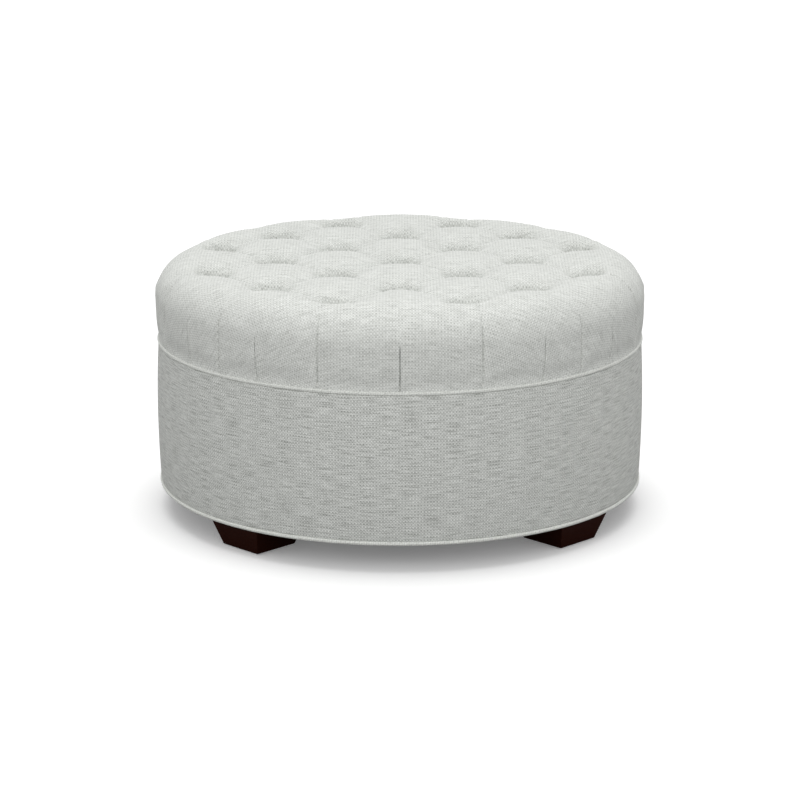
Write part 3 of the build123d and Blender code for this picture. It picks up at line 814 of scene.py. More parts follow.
@dataclass
class CrownCover:
    """The crown cover: one flat piece of cloth, buttoned down, pleated over the edge and seamed."""

    line: CrownLine = field(default_factory=CrownLine)
    layout: TuftLayout = field(default_factory=TuftLayout)
    thickness: float = 2.4 * MM
    swell: tuple[KDTree, np.ndarray] | None = field(default=None, init=False)
    # The skin's mesh, finer over the top, its columns drawn together at the pleats and darts
    columns: int = 480
    top_step: float = 3.2 * MM
    side_step: float = 5.5 * MM
    fine_end: float = 40.0 * MM
    drawn_from: float = 300.0 * MM
    drawn_over: float = 80.0 * MM
    drawn_share: float = 0.88
    gap_columns: tuple[int, ...] = (24, 20, 16, 16, 20, 24)
    # The puffs round the edge, and how their shape ends at the seam
    lobe_reach: float = 60.0 * MM
    lobe_fall: float = 140.0 * MM
    seam_taper: float = 20.0 * MM
    # The swelling of the slack cushion
    blank_rings: int = 110
    blank_columns: int = 240
    voxel: float = 6.0 * MM
    seat_radius: float = 42.0 * MM
    stitch_reach: float = 3.2 * MM
    stitch_fade: float = 18.0 * MM
    pleats_from: float = 375.0 * MM
    shoulder_share: float = 0.95
    shoulder_start: float = 40.0 * MM
    shoulder_past: float = 12.0 * MM
    shoulder_fade: float = 26.0 * MM
    held_band: float = 10.0 * MM
    open_band: float = 2.0 * MM
    swell_room: float = 4.0 * MM
    swell_cap: float = 9.0 * MM
    swell_pressure: float = 8.0
    swell_frames: int = 20
    swell_quality: int = 5
    stretch_stiffness: float = 5.0
    spare_cloth: float = 0.012
    # Pleats: folds whose upper ends lean away from the nearest of front, sides and back
    pleats_degrees: tuple[float, ...] = (18.435, 45.0, 71.565)
    pleat_depth: float = 2.6 * MM
    pleat_half_width: float = 1.2 * MM
    pleat_step: float = 0.8 * MM
    pleat_step_fade: float = 12.0 * MM
    pleat_start: float = 6.0 * MM
    pleat_over: float = 12.0 * MM
    pleat_lean_degrees: float = 1.2
    lean_end: float = 470.0 * MM
    lean_over: float = 75.0 * MM
    # Darts: short seams above the welt, with a raised lip on each side and a swelling above
    darts_degrees: tuple[float, ...] = (0.0, 33.690, 56.310)
    dart_depth: float = 4.5 * MM
    dart_half_width: float = 0.55 * MM
    dart_narrowing: float = 120.0 * MM
    dart_widest: float = 1.2
    dart_narrowest: float = 0.6
    dart_length: float = 83.0 * MM
    dart_end: float = 14.0 * MM
    dart_lip: float = 0.8 * MM
    lip_place: float = 6.0 * MM
    lip_width: float = 5.0 * MM
    bump_rise: float = 0.8 * MM
    bump_above: float = 3.0 * MM
    bump_reach: float = 9.0 * MM

    def rings(self) -> np.ndarray:
        """Lengths along the crown's line at which the skin has its rings.

        Returns:
            The lengths, from the middle to the seam.
        """
        whole = self.line.whole()
        turn = sum(self.line.lengths()[:2]) - self.fine_end
        top = np.linspace(0, turn, math.ceil(turn / self.top_step) + 1)
        side = np.linspace(turn, whole, math.ceil((whole - turn) / self.side_step) + 1)
        return np.concatenate([top, side[1:]])

    def tuck(self) -> Section:
        """The cloth's edge, rolled in behind the welt and stapled down inside."""
        return [
            (452.4 * MM, 327.4 * MM),
            (451.2 * MM, 326.9 * MM),
            (449.0 * MM, 327.6 * MM),
            (444.7 * MM, 327.6 * MM),
            (444.7 * MM, 308.0 * MM),
        ]

    def feature_bearings(self) -> np.ndarray:
        """The bearings of every pleat and dart in one quarter, ending with the next dart."""
        quarter = sorted(self.pleats_degrees + self.darts_degrees)
        return np.radians(quarter + [90.0])

    def graded(self, bearing: np.ndarray, reach: np.ndarray) -> np.ndarray:
        """Draws evenly spaced columns together at the pleats and darts, towards the edge.

        Args:
            bearing: the even bearings.
            reach: how far each place is from the Z axis.

        Returns:
            The new bearings.
        """
        turn = np.floor(bearing / QUARTER + 1e-6)
        step = (bearing - turn * QUARTER) / (FULL_TURN / self.columns)
        ends = np.concatenate([[0], np.cumsum(self.gap_columns)])
        gap = np.clip(np.searchsorted(ends, step + 1e-3, side="right") - 1, 0, len(ends) - 2)
        part = (step - ends[gap]) / (ends[gap + 1] - ends[gap])
        part = part - self.drawn_share * np.sin(FULL_TURN * part) / FULL_TURN
        features = self.feature_bearings()
        drawn = features[gap] + part * (features[gap + 1] - features[gap]) + turn * QUARTER
        return bearing + np.clip((reach - self.drawn_from) / self.drawn_over, 0, 1) * (drawn - bearing)

    def panel_ends(self, bearing: np.ndarray) -> tuple[np.ndarray, np.ndarray]:
        """The bearings of the two pleats that bound the panel of cloth at each bearing.

        Args:
            bearing: the bearings.

        Returns:
            The pleat before each, and the one after.
        """
        pleats = np.radians(sorted(q + p for q in (-180, -90, 0, 90) for p in self.pleats_degrees))
        pleats = np.concatenate([[pleats[-1] - FULL_TURN], pleats, [pleats[0] + FULL_TURN]])
        number = np.clip(np.searchsorted(pleats, bearing, side="right") - 1, 0, len(pleats) - 2)
        return pleats[number], pleats[number + 1]

    def panel_bulge(self, bearing: np.ndarray) -> np.ndarray:
        """One in the middle of each panel between two pleats, and zero at the pleats."""
        before, after = self.panel_ends(bearing)
        return 1 - (2 * (bearing - before) / (after - before) - 1) ** 2

    def pressed(
        self, along: np.ndarray, bearing: np.ndarray, inset: float | np.ndarray
    ) -> np.ndarray:
        """Places of the tufted surface, before pleats, drawn in by inset.

        Args:
            along: lengths from the middle of the top.
            bearing: the bearing of each place.
            inset: how far each place is drawn in.

        Returns:
            One place a row.
        """
        radius, height, out, up = self.line.at(along)
        x, y = radius * np.sin(bearing), -radius * np.cos(bearing)
        gap = np.clip(self.layout.to_ring(x, y).min(axis=0) / self.lobe_reach, 0, 1)
        to_seam = np.clip((self.line.whole() - along) / self.lobe_fall, 0, 1)
        lobe = self.layout.lobe_rise * gap * (2 - gap) * to_seam**3 * self.panel_bulge(bearing)
        depth = self.layout.press(x, y) - np.where(self.layout.on_puffs(x, y), 0, lobe)
        depth += inset * self.taper(along)
        return spun(radius - depth * out, bearing, height - depth * up)

    def taper(self, along: np.ndarray) -> np.ndarray:
        """One over the whole crown, falling to zero just before the seam."""
        return np.clip((self.line.whole() - along) / self.seam_taper, 0, 1)

    def room(self, along: np.ndarray, bearing: np.ndarray) -> np.ndarray:
        """How far the slack cloth lies in from the full one, before it is blown up.

        Args:
            along: lengths from the middle of the top.
            bearing: the bearing of each place.

        Returns:
            One depth for each place, none at the stitches and little on the shoulder.
        """
        radius = self.line.at(along)[0]
        near = self.to_stitches(radius * np.sin(bearing), -radius * np.cos(bearing))
        flat, bend = self.line.lengths()[:2]
        onto = np.clip((along - flat) / self.shoulder_start + 1, 0, 1)
        off = np.clip((flat + bend + self.shoulder_past - along) / self.shoulder_fade, 0, 1)
        beside = np.clip((near - self.voxel) / self.stitch_fade, 0, 1)
        return self.swell_room * beside * (1 - self.shoulder_share * onto * off)

    def blank(self) -> Piece:
        """The slack cushion that the swelling starts from, closed underneath.

        Returns:
            The cushion.
        """
        spread = np.linspace(0, self.line.whole(), self.blank_rings)
        radius, height, _, _ = self.line.at(spread)
        path = list(zip(radius, height)) + [(0.3, height[-1]), (0.0, height[-1])]
        cushion = turned("cushion_blank", path, self.blank_columns)
        places = points_of(cushion)
        number, _ = nearest_on(places, radius, height)
        beside = np.abs(reach_of(places) - radius[number]) < MM
        skin = beside & (places[:, 2] > height[-1] + NEAR)
        bearing = bearing_of(places)
        depth = self.room(spread[number], bearing)
        pressed = self.pressed(spread[number], bearing, depth)
        move_points(cushion, np.where(skin[:, None], pressed, places))
        return cushion

    def to_seats(self, x: np.ndarray, y: np.ndarray) -> np.ndarray:
        """Distance from each place to the nearest tuft.

        Args:
            x: how far each place lies along X.
            y: how far each place lies along Y.

        Returns:
            The distance of each place.
        """
        near = np.full(len(x), np.inf)
        for i, j in self.layout.tufts:
            near = np.minimum(near, np.hypot(x - i * self.layout.step, y - j * self.layout.step))
        return near

    def to_stitches(self, x: np.ndarray, y: np.ndarray) -> np.ndarray:
        """Distance from each place to the nearest tuft, crease or pleat that holds the cloth.

        Args:
            x: how far each place lies along X.
            y: how far each place lies along Y.

        Returns:
            The distance of each place.
        """
        off_seats = np.clip(self.to_seats(x, y) - self.seat_radius, 0, None)
        near = np.minimum(self.layout.to_lines(x, y), off_seats)
        reach, local = np.hypot(x, y), in_quarter(np.arctan2(x, -y))
        for degrees in self.pleats_degrees:
            for turn in (0, -QUARTER):
                gap = np.abs(local - math.radians(degrees) - turn) * reach
                near = np.where(reach > self.pleats_from, np.minimum(near, gap), near)
        return near

    def swollen(self) -> tuple[KDTree, np.ndarray]:
        """Blows the slack cushion up as cloth, held along its creases, pleats and seam.

        Returns:
            The slack cushion's places, and how far each one moved, kept under the cap.
        """
        cushion = self.blank()
        evened = cushion.modifiers.new("evened", "REMESH")
        evened.mode = "VOXEL"
        evened.voxel_size = self.voxel
        apply_modifiers(cushion)
        self.open_below(cushion)
        before = points_of(cushion)
        stitched = self.to_stitches(before[:, 0], before[:, 1]) < self.stitch_reach
        low = before[:, 2] < self.line.seam_height + self.held_band
        held = cushion.vertex_groups.new(name="held")
        held.add(np.flatnonzero(stitched | low).tolist(), 1.0, "REPLACE")
        cloth = cushion.modifiers.new("cloth", "CLOTH")
        cloth.settings.quality = self.swell_quality
        for way in ("tension", "compression", "shear"):
            setattr(cloth.settings, f"{way}_stiffness", self.stretch_stiffness)
        cloth.settings.shrink_min = -self.spare_cloth
        cloth.settings.use_pressure = True
        cloth.settings.uniform_pressure_force = self.swell_pressure
        cloth.settings.vertex_group_mass = held.name
        cloth.settings.effector_weights.gravity = 0
        cloth.collision_settings.use_collision = False
        cloth.point_cache.frame_end = self.swell_frames
        for number in range(1, self.swell_frames + 1):
            bpy.context.scene.frame_set(number)
        apply_modifiers(cushion)
        bpy.context.scene.frame_set(1)
        moved = points_of(cushion) - before
        far = np.linalg.norm(moved, axis=1, keepdims=True)
        log.info("cushion swelled by %.1f mm at most before its cap", far.max() / MM)
        bpy.data.objects.remove(cushion)
        places = KDTree(len(before))
        for number, place in enumerate(before):
            places.insert(place, number)
        places.balance()
        return places, moved * np.minimum(1, self.swell_cap / np.maximum(far, 1e-9))

    def open_below(self, cushion: Piece) -> None:
        """Takes away the cushion's flat underside, which the cloth doesn't cover.

        Args:
            cushion: the cushion, changed in place.
        """
        shell = bmesh.new()
        shell.from_mesh(cushion.data)
        under = [v for v in shell.verts if v.co.z < self.line.seam_height + self.open_band]
        bmesh.ops.delete(shell, geom=under, context="VERTS")
        shell.to_mesh(cushion.data)
        shell.free()

    def creases(self, along: np.ndarray, bearing: np.ndarray, spare: float = 0.0) -> np.ndarray:
        """How far pleats and darts move the cloth outwards.

        Args:
            along: lengths from the middle of the top.
            bearing: the bearing of each place.
            spare: how much wider each fold is, for the padding below.

        Returns:
            The move outwards of each place.
        """
        radius, height, _, _ = self.line.at(along)
        local, outer = in_quarter(bearing), float(spare == 0)
        moved = np.zeros(len(along))
        begun = along - self.line.lengths()[0] + self.pleat_start
        started = np.clip(begun / self.pleat_over, 0, 1)
        lean = math.radians(self.pleat_lean_degrees)
        lean = lean * np.clip((self.lean_end - along) / self.lean_over, 0, 1)
        for degrees in self.pleats_degrees:
            for turn in (0, -QUARTER):
                way = math.copysign(1, math.radians(degrees) + turn)
                gap = (local - math.radians(degrees) - turn - way * lean) * radius
                fold = np.exp(-((gap / (self.pleat_half_width + spare)) ** 2))
                step = -np.sign(gap) * way * self.pleat_step
                step = step * np.exp(-np.abs(gap) / self.pleat_step_fade)
                moved += started * (step * outer - self.pleat_depth * fold)
        base = self.line.seam_height
        top = base + self.dart_length
        shut = np.clip((top - height) / self.dart_end, 0, 1)
        width = self.dart_widest - (height - base) / self.dart_narrowing
        width = self.dart_half_width * np.clip(width, self.dart_narrowest, self.dart_widest)
        for degrees in self.darts_degrees + (90.0,):
            for turn in (0, -QUARTER):
                gap = (local - math.radians(degrees) - turn) * radius
                fold = np.exp(-((gap / (width + spare)) ** 2))
                lip = np.exp(-(((np.abs(gap) - self.lip_place) / self.lip_width) ** 2))
                rise = height - top - self.bump_above
                bump = np.exp(-(gap**2 + rise**2) / self.bump_reach**2)
                moved += shut * (self.dart_lip * lip * outer - self.dart_depth * fold)
                moved += self.bump_rise * bump * outer
        return moved

    def skin(self) -> Piece:
        """The outer skin with its columns drawn together, laid on the swollen cushion.

        Returns:
            The skin, still without a thickness.
        """
        along = self.rings()
        path = list(zip(*self.line.at(along)[:2])) + self.tuck()
        piece = turned("crown_cover", path, self.columns)
        places = points_of(piece)
        rows = np.array(path)
        number, _ = nearest_on(places, rows[:, 0], rows[:, 1])
        on_skin = number < len(along)
        length = along[np.minimum(number, len(along) - 1)]
        bearing = self.graded(bearing_of(places), reach_of(places))
        _, _, outward, upward = self.line.at(length)
        crease = self.creases(length, bearing)
        fresh = self.surface(length, bearing, 0.0)
        fresh += spun(crease * outward, bearing, crease * upward)
        tucked = spun(reach_of(places), bearing, places[:, 2])
        last = length > along[-1] - NEAR
        fresh[last] = tucked[last]
        move_points(piece, np.where(on_skin[:, None], fresh, tucked))
        self.weave(piece, number, rows, along)
        return piece

    def surface(
        self, along: np.ndarray, bearing: np.ndarray, inset: float | np.ndarray
    ) -> np.ndarray:
        """Args:
            along: lengths from the middle of the top.
            bearing: the bearing of each place.
            inset: how far each place is drawn in.

        Returns:
            One place a row.
        """
        found = self.pressed(along, bearing, inset)
        if self.swell is None:
            self.swell = self.swollen()
        places, moves = self.swell
        room = self.room(along, bearing)
        slack = self.pressed(along, bearing, room)
        found = self.pressed(along, bearing, room + inset)
        for k, place in enumerate(slack):
            near = places.find_n(place, 4)
            shares = np.array([1 / (gap + NEAR) for _, _, gap in near])
            found[k] += shares @ moves[[number for _, number, _ in near]] / shares.sum()
        return found

    def weave(
        self, piece: Piece, number: np.ndarray, rows: np.ndarray, along: np.ndarray
    ) -> None:
        """Lays the weave: straight over the top, then straight down each panel between pleats.

        Args:
            piece: the piece.
            number: the ring of the path that each vertex is on.
            rows: radius and height of the path's points.
            along: lengths from the middle for the rings of the skin.
        """
        bearing = bearing_of(points_of(piece))
        reach = rows[number, 0]
        tuck_steps = np.hypot(*np.diff(rows[len(along) - 1 :], axis=0).T)
        path_length = np.concatenate([along, along[-1] + np.cumsum(tuck_steps)])
        spare = path_length[number] - reach
        corners = corner_vertices(piece)
        middle = sum(self.panel_ends(face_bearings(piece))) / 2
        x = reach[corners] * np.sin(bearing[corners]) + spare[corners] * np.sin(middle)
        y = -reach[corners] * np.cos(bearing[corners]) - spare[corners] * np.cos(middle)
        lay_weave(piece, x, y)

    def build(self) -> Piece:
        """Makes the cover, with its thickness inwards, and dresses it.

        Returns:
            The cover.
        """
        piece = self.skin()
        thicken(piece, self.thickness, -1, 60.0)
        finish_piece(piece, CROWN_CLOTH.make(), ("tufted_cover",))
        return piece


@dataclass
class CoveredButtons:
    """The cloth-covered buttons: a low dome over a pinched rim, one at the bottom of each tuft."""

    layout: TuftLayout
    radius: float = 11.0 * MM
    seat: float = 435.3 * MM
    rise: float = 6.0 * MM
    columns: int = 32
    pinch: float = 0.6 * MM

    def section(self) -> Section:
        """Half section from the top of the dome, over the rim, to the flat underside.

        Returns:
            Radius and height of each point.
        """
        dome = [
            (self.radius * math.sin(turn), self.seat + self.rise * (0.25 + 0.75 * math.cos(turn)))
            for turn in np.radians(np.linspace(0, 90, 9))
        ]
        rim = self.radius - self.pinch
        under = [(rim, self.seat + 0.3 * MM), (rim - 1.0 * MM, self.seat)]
        return dome + under + [(0.0, self.seat)]

    def build(self) -> Piece:
        """Turns one button, copies it to every tuft and joins the set.

        Returns:
            The set of buttons, as one piece.
        """
        first = turned("covered_buttons", self.section(), self.columns)
        places = points_of(first)[corner_vertices(first)]
        lay_weave(first, places[:, 0], places[:, 1])
        copies = []
        for i, j in self.layout.tufts:
            copy = first.copy()
            copy.data = first.data.copy()
            spot = (i * self.layout.step, j * self.layout.step, 0)
            copy.data.transform(Matrix.Translation(spot))
            bpy.context.scene.collection.objects.link(copy)
            copies.append(copy)
        bpy.data.objects.remove(first)
        piece = joined(copies)
        piece.name = piece.data.name = "covered_buttons"
        finish_piece(piece, CROWN_CLOTH.make(), ("tuft_buttons",))
        return piece


# Welts and side cover


class WeltPlace(Enum):
    """Which of the two welts."""

    CROWN = "crown"
    BASE = "base"


@dataclass
class Welt:
    """A bias-cut sleeve sewn tight over its cord, with the flange that is stapled inside."""

    place: WeltPlace
    height: float
    node: str
    flange: tuple[tuple[float, float], ...]
    ring: float = 451.4 * MM
    radius: float = 3.8 * MM
    columns: int = 600
    mouth_degrees: float = 8.0
    long_sway: float = 0.12 * MM
    long_waves: int = 37
    short_sway: float = 0.10 * MM
    short_waves: int = 90
    height_sway: float = 0.1 * MM
    height_waves: int = 53

    def section(self) -> Section:
        """The bead, almost a full round, and then out along the flange and back.

        Returns:
            Radius and height of each point, the first one again at the end.
        """
        mouth = self.mouth_degrees
        bead = arc_points((self.ring, self.height), self.radius, -180 + mouth, 180 - mouth, 15)
        path = bead + list(self.flange)
        return path + [path[0]]

    def build(self, coat: bpy.types.Material) -> Piece:
        """Turns the welt and lets its bead waver a little, in and out and up and down.

        Args:
            coat: the welts' cloth.

        Returns:
            The welt.
        """
        piece = turned(f"{self.place.value}_welt", self.section(), self.columns)
        places = points_of(piece)
        bearing, reach = bearing_of(places), reach_of(places)
        outer = np.clip((reach - self.ring) / self.radius, 0, 1)
        sway = self.long_sway * np.sin(bearing * self.long_waves)
        sway += self.short_sway * np.sin(bearing * self.short_waves + 1.0)
        rise = outer * self.height_sway * np.sin(bearing * self.height_waves)
        move_points(piece, spun(reach + outer * sway, bearing, places[:, 2] + rise))
        self.weave(piece)
        finish_piece(piece, coat, (self.node,))
        return piece

    def weave(self, piece: Piece) -> None:
        """Lays the weave round the bead and along the ring."""
        places, bearing = corner_bearings(piece)
        turn = np.arctan2(places[:, 2] - self.height, reach_of(places) - self.ring)
        lay_weave(piece, bearing * self.ring, turn * self.radius)


@dataclass
class SideCover:
    """The drum's cover: a plain band over the padding, turned in at its top and hemmed."""

    seam_radius: float = 453.0 * MM
    drum_radius: float = 457.0 * MM
    top: float = 320.8 * MM
    bottom: float = 56.8 * MM
    thickness: float = 1.5 * MM
    columns: int = 360
    rows: int = 34
    sway: float = 0.35 * MM
    broad_waves: int = 3
    narrow_waves: int = 7
    narrow_share: float = 0.6
    wave_twist: float = 3.0
    face_from: float = 450.0 * MM

    def belly(self, share: np.ndarray) -> np.ndarray:
        """Radius of the outer face at shares of its height.

        Args:
            share: shares of the band's height, from 0 to 1.

        Returns:
            The radius at each.
        """
        draw = self.drum_radius - self.seam_radius
        rise = self.top - self.bottom
        arc = (draw**2 + (rise / 2) ** 2) / (2 * draw)
        return self.drum_radius - arc + np.sqrt(arc**2 - (rise * (share - 0.5)) ** 2)

    def section(self) -> Section:
        """The band's closed section: outer face up, turned in and down, back up, and the hem.

        Returns:
            Radius and height of each point, the first one again at the end.
        """
        shares = np.linspace(0.008, 0.992, self.rows)
        heights = self.bottom + shares * (self.top - self.bottom)
        radii = self.belly(shares)
        outer = list(zip(radii, heights))
        inner = [(r - self.thickness, z) for r, z in reversed(outer)]
        top = [
            (452.6 * MM, self.top - 0.6 * MM),
            (451.4 * MM, self.top),
            (446.3 * MM, self.top),
            (445.9 * MM, self.top - 0.5 * MM),
            (445.9 * MM, 299.8 * MM),
            (447.4 * MM, 299.8 * MM),
            (447.4 * MM, self.top - self.thickness),
            (450.8 * MM, self.top - self.thickness),
        ]
        hem = [
            (450.9 * MM, self.bottom + self.thickness),
            (442.3 * MM, self.bottom + self.thickness),
            (442.3 * MM, 52.8 * MM),
            (415.0 * MM, 52.8 * MM),
            (415.0 * MM, 51.3 * MM),
            (443.6 * MM, 51.3 * MM),
            (443.8 * MM, self.bottom),
            (451.4 * MM, self.bottom),
            (452.6 * MM, self.bottom + 0.6 * MM),
        ]
        path = outer + top + inner + hem
        return path + [path[0]]

    def build(self) -> Piece:
        """Turns the band and lets it dip and swell a little, as stretched cloth does.

        Returns:
            The band.
        """
        piece = turned("drum_cover", self.section(), self.columns)
        places = points_of(piece)
        bearing, reach = bearing_of(places), reach_of(places)
        share = np.clip((places[:, 2] - self.bottom) / (self.top - self.bottom), 0, 1)
        middle = np.sin(math.pi * share) * (reach > self.face_from)
        narrow = np.sin(bearing * self.narrow_waves + 2.1 + self.wave_twist * share)
        waves = np.sin(bearing * self.broad_waves + 0.7) + self.narrow_share * narrow
        move_points(piece, spun(reach + self.sway * middle * waves, bearing, places[:, 2]))
        self.weave(piece)
        finish_piece(piece, DRUM_CLOTH.make(), ("side_cover",))
        return piece

    def weave(self, piece: Piece) -> None:
        """Lays the weave round the drum, and along its height."""
        places, bearing = corner_bearings(piece)
        spare = reach_of(places) - self.drum_radius
        lay_weave(piece, bearing * self.drum_radius, places[:, 2] + spare)


# Padding, and the cloth underneath


@dataclass
class HiddenPadding:
    """The padding that the covers hide: topper, foam slab and side wadding."""

    crown: CrownCover
    deck_top: float = 350.0 * MM
    slab_radius: float = 432.0 * MM
    slab_top: float = 425.0 * MM
    slab_round: float = 20.0 * MM
    bore_radius: float = 10.0 * MM
    tuck_radius: float = 442.3 * MM
    topper_inset: float = 2.9 * MM
    topper_columns: int = 480
    floor: float = 330.7 * MM
    slab_gap: float = 0.3 * MM
    topper_rings: int = 96
    fold_spare: float = 2.0 * MM
    topper_short: float = 4.0 * MM

    def topper(self) -> Piece:
        """The soft topper: pressed by the tufts above, hollowed for the slab below.

        Returns:
            The topper.
        """
        line = self.crown.line
        spread = np.linspace(0, line.whole() - self.topper_short, self.topper_rings)
        radius, height, _, _ = line.at(spread)
        corner = (self.slab_radius - self.slab_round, self.slab_top - self.slab_round)
        under = [
            (self.tuck_radius, self.floor),
            (self.tuck_radius, self.deck_top),
            (self.slab_radius + self.slab_gap, self.deck_top),
        ]
        under += arc_points(corner, self.slab_round + self.slab_gap, 0, 90, 6)
        under += [(middle, self.slab_top + self.slab_gap) for middle in (0.3, 0.15, 0.0)]
        path = list(zip(radius, height)) + under
        piece = turned("topper_wadding", path, self.topper_columns)
        places = points_of(piece)
        number, gap = nearest_on(places, radius, height)
        bearing = self.crown.graded(bearing_of(places), reach_of(places))
        creases = self.crown.creases(spread[number], bearing, self.fold_spare)
        pressed = self.crown.surface(spread[number], bearing, self.topper_inset - creases)
        pressed[:, 2] = np.maximum(pressed[:, 2], self.floor)
        kept = spun(reach_of(places), bearing, places[:, 2])
        move_points(piece, np.where((gap < 2 * NEAR)[:, None], pressed, kept))
        finish_piece(piece, WADDING.make(), ("topper_pad",))
        return piece

    def slab(self) -> Piece:
        """The firm foam slab, rounded along its top edge and drilled at the tufts.

        Returns:
            The slab.
        """
        corner = (self.slab_radius - self.slab_round, self.slab_top - self.slab_round)
        path = [(0.0, self.deck_top), (self.slab_radius, self.deck_top)]
        path += arc_points(corner, self.slab_round, 0, 90, 8) + [(0.0, self.slab_top)]
        piece = turned("foam_slab", path, 180)
        start_clean()
        drills = []
        for i, j in self.crown.layout.tufts:
            spot = (i * self.crown.layout.step, j * self.crown.layout.step, self.slab_top)
            bpy.ops.mesh.primitive_cylinder_add(
                vertices=24, radius=self.bore_radius, depth=0.2, location=spot
            )
            drills.append(bpy.context.object)
        drill = joined(drills)
        bores = piece.modifiers.new("bores", "BOOLEAN")
        bores.object = drill
        bores.solver = "EXACT"
        apply_modifiers(piece)
        bpy.data.objects.remove(drill)
        settle(piece)
        finish_piece(piece, FOAM.make(), ("seat_foam",))
        return piece

    def side(self) -> Piece:
        """The wadding between the wall and the drum's cover, rounded at its edges.

        Returns:
            The wadding.
        """
        cover = SideCover()
        shares = np.linspace(0.012, 0.912, 20)
        heights = cover.bottom + shares * (cover.top - cover.bottom)
        radii = cover.belly(shares) - cover.thickness - 0.4 * MM
        outer = list(zip(radii, heights))
        path = outer + [(449.0 * MM, 299.2 * MM), (442.5 * MM, 299.2 * MM)]
        path += [(442.5 * MM, 58.7 * MM), (449.0 * MM, 58.7 * MM), outer[0]]
        piece = turned("side_wadding", path, 240)
        finish_piece(piece, WADDING.make(), ("side_padding",))
        return piece

    def build(self) -> None:
        """Makes all three."""
        self.topper()
        self.slab()
        self.side()


@dataclass
class DustCover:
    """The black cloth under the base, drawn tight by its staples and a little slack between."""

    radius: float = 436.0 * MM
    underside: float = 49.6 * MM
    thickness: float = 0.8 * MM
    sag: float = 1.4 * MM
    pucker: float = 0.35 * MM
    puckers: int = 44
    pucker_from: float = 0.9
    sag_share: float = 0.72
    columns: int = 176

    def build(self) -> Piece:
        """Turns the disc, lets it sag, and puckers its edge between the staples.

        Returns:
            The cloth.
        """
        radii = np.linspace(0, self.radius, 60)
        piece = turned("dust_cloth", [(r, self.underside) for r in radii], self.columns)
        places = points_of(piece)
        bearing = bearing_of(places)
        share = np.clip(reach_of(places) / self.radius, 0, 1)
        edge = np.clip((share - self.pucker_from) / 0.1, 0, 1)
        edge *= np.clip((0.995 - share) / 0.02, 0, 1)
        places[:, 2] -= self.sag * np.clip(1 - (share / self.sag_share) ** 2, 0, 1) ** 2
        places[:, 2] -= self.pucker * edge * (0.5 + 0.5 * np.cos(bearing * self.puckers))
        move_points(piece, places)
        thicken(piece, self.thickness, self.outside(piece))
        finish_piece(piece, DUST_CLOTH.make(), ("dust_cover",))
        return piece

    def outside(self, piece: Piece) -> float:
        """The side on which the thickness goes, so that it grows upwards to the base panel."""
        return 1.0 if piece.data.polygons[0].normal.z > 0 else -1.0


# The nodes that keep their CAD shape


@dataclass
class FrameDressing:
    """Finishes for the wood, metal and small parts, whose shapes come from the frame."""

    def build(self) -> None:
        """Gives each kept node its own finish."""
        feet = ("foot_front_left", "foot_front_right", "foot_rear_left", "foot_rear_right")
        blocks = tuple(f"foot_block_{name[5:]}" for name in feet)
        posts = tuple(f"post_{number}" for number in range(1, 9))
        self.dress(ESPRESSO, *feet)
        self.dress(PLYWOOD, "side_wall", "top_deck", "base_panel")
        self.dress(PINE_UPRIGHT, *posts)
        self.dress(PINE_ACROSS, "deck_rail_front", "deck_rail_rear", *blocks)
        self.dress(PINE_ALONG, "deck_rail_left", "deck_rail_right")
        self.dress(BOARD, "tack_strip")
        self.dress(MOULDED, "tuft_anchors")
        self.dress(TWINE, "tuft_twines")
        self.dress(PIPING, "mid_welt_cord", "base_welt_cord")
        self.dress(ZINC, "base_staples", "hanger_bolts", "tee_nuts", "base_screws", "deck_screws")
        self.dress(FELT, "foot_pads")

    def dress(self, finish: Finish, *nodes: str) -> None:
        """Puts one finish on some nodes.

        Args:
            finish: the finish.
            nodes: the nodes' names.
        """
        coat = finish.make()
        for name in nodes:
            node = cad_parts[name]
            node.data.materials.clear()
            node.data.materials.append(coat)
        log.info("%s on %s", finish.name, ", ".join(nodes))


# Studio


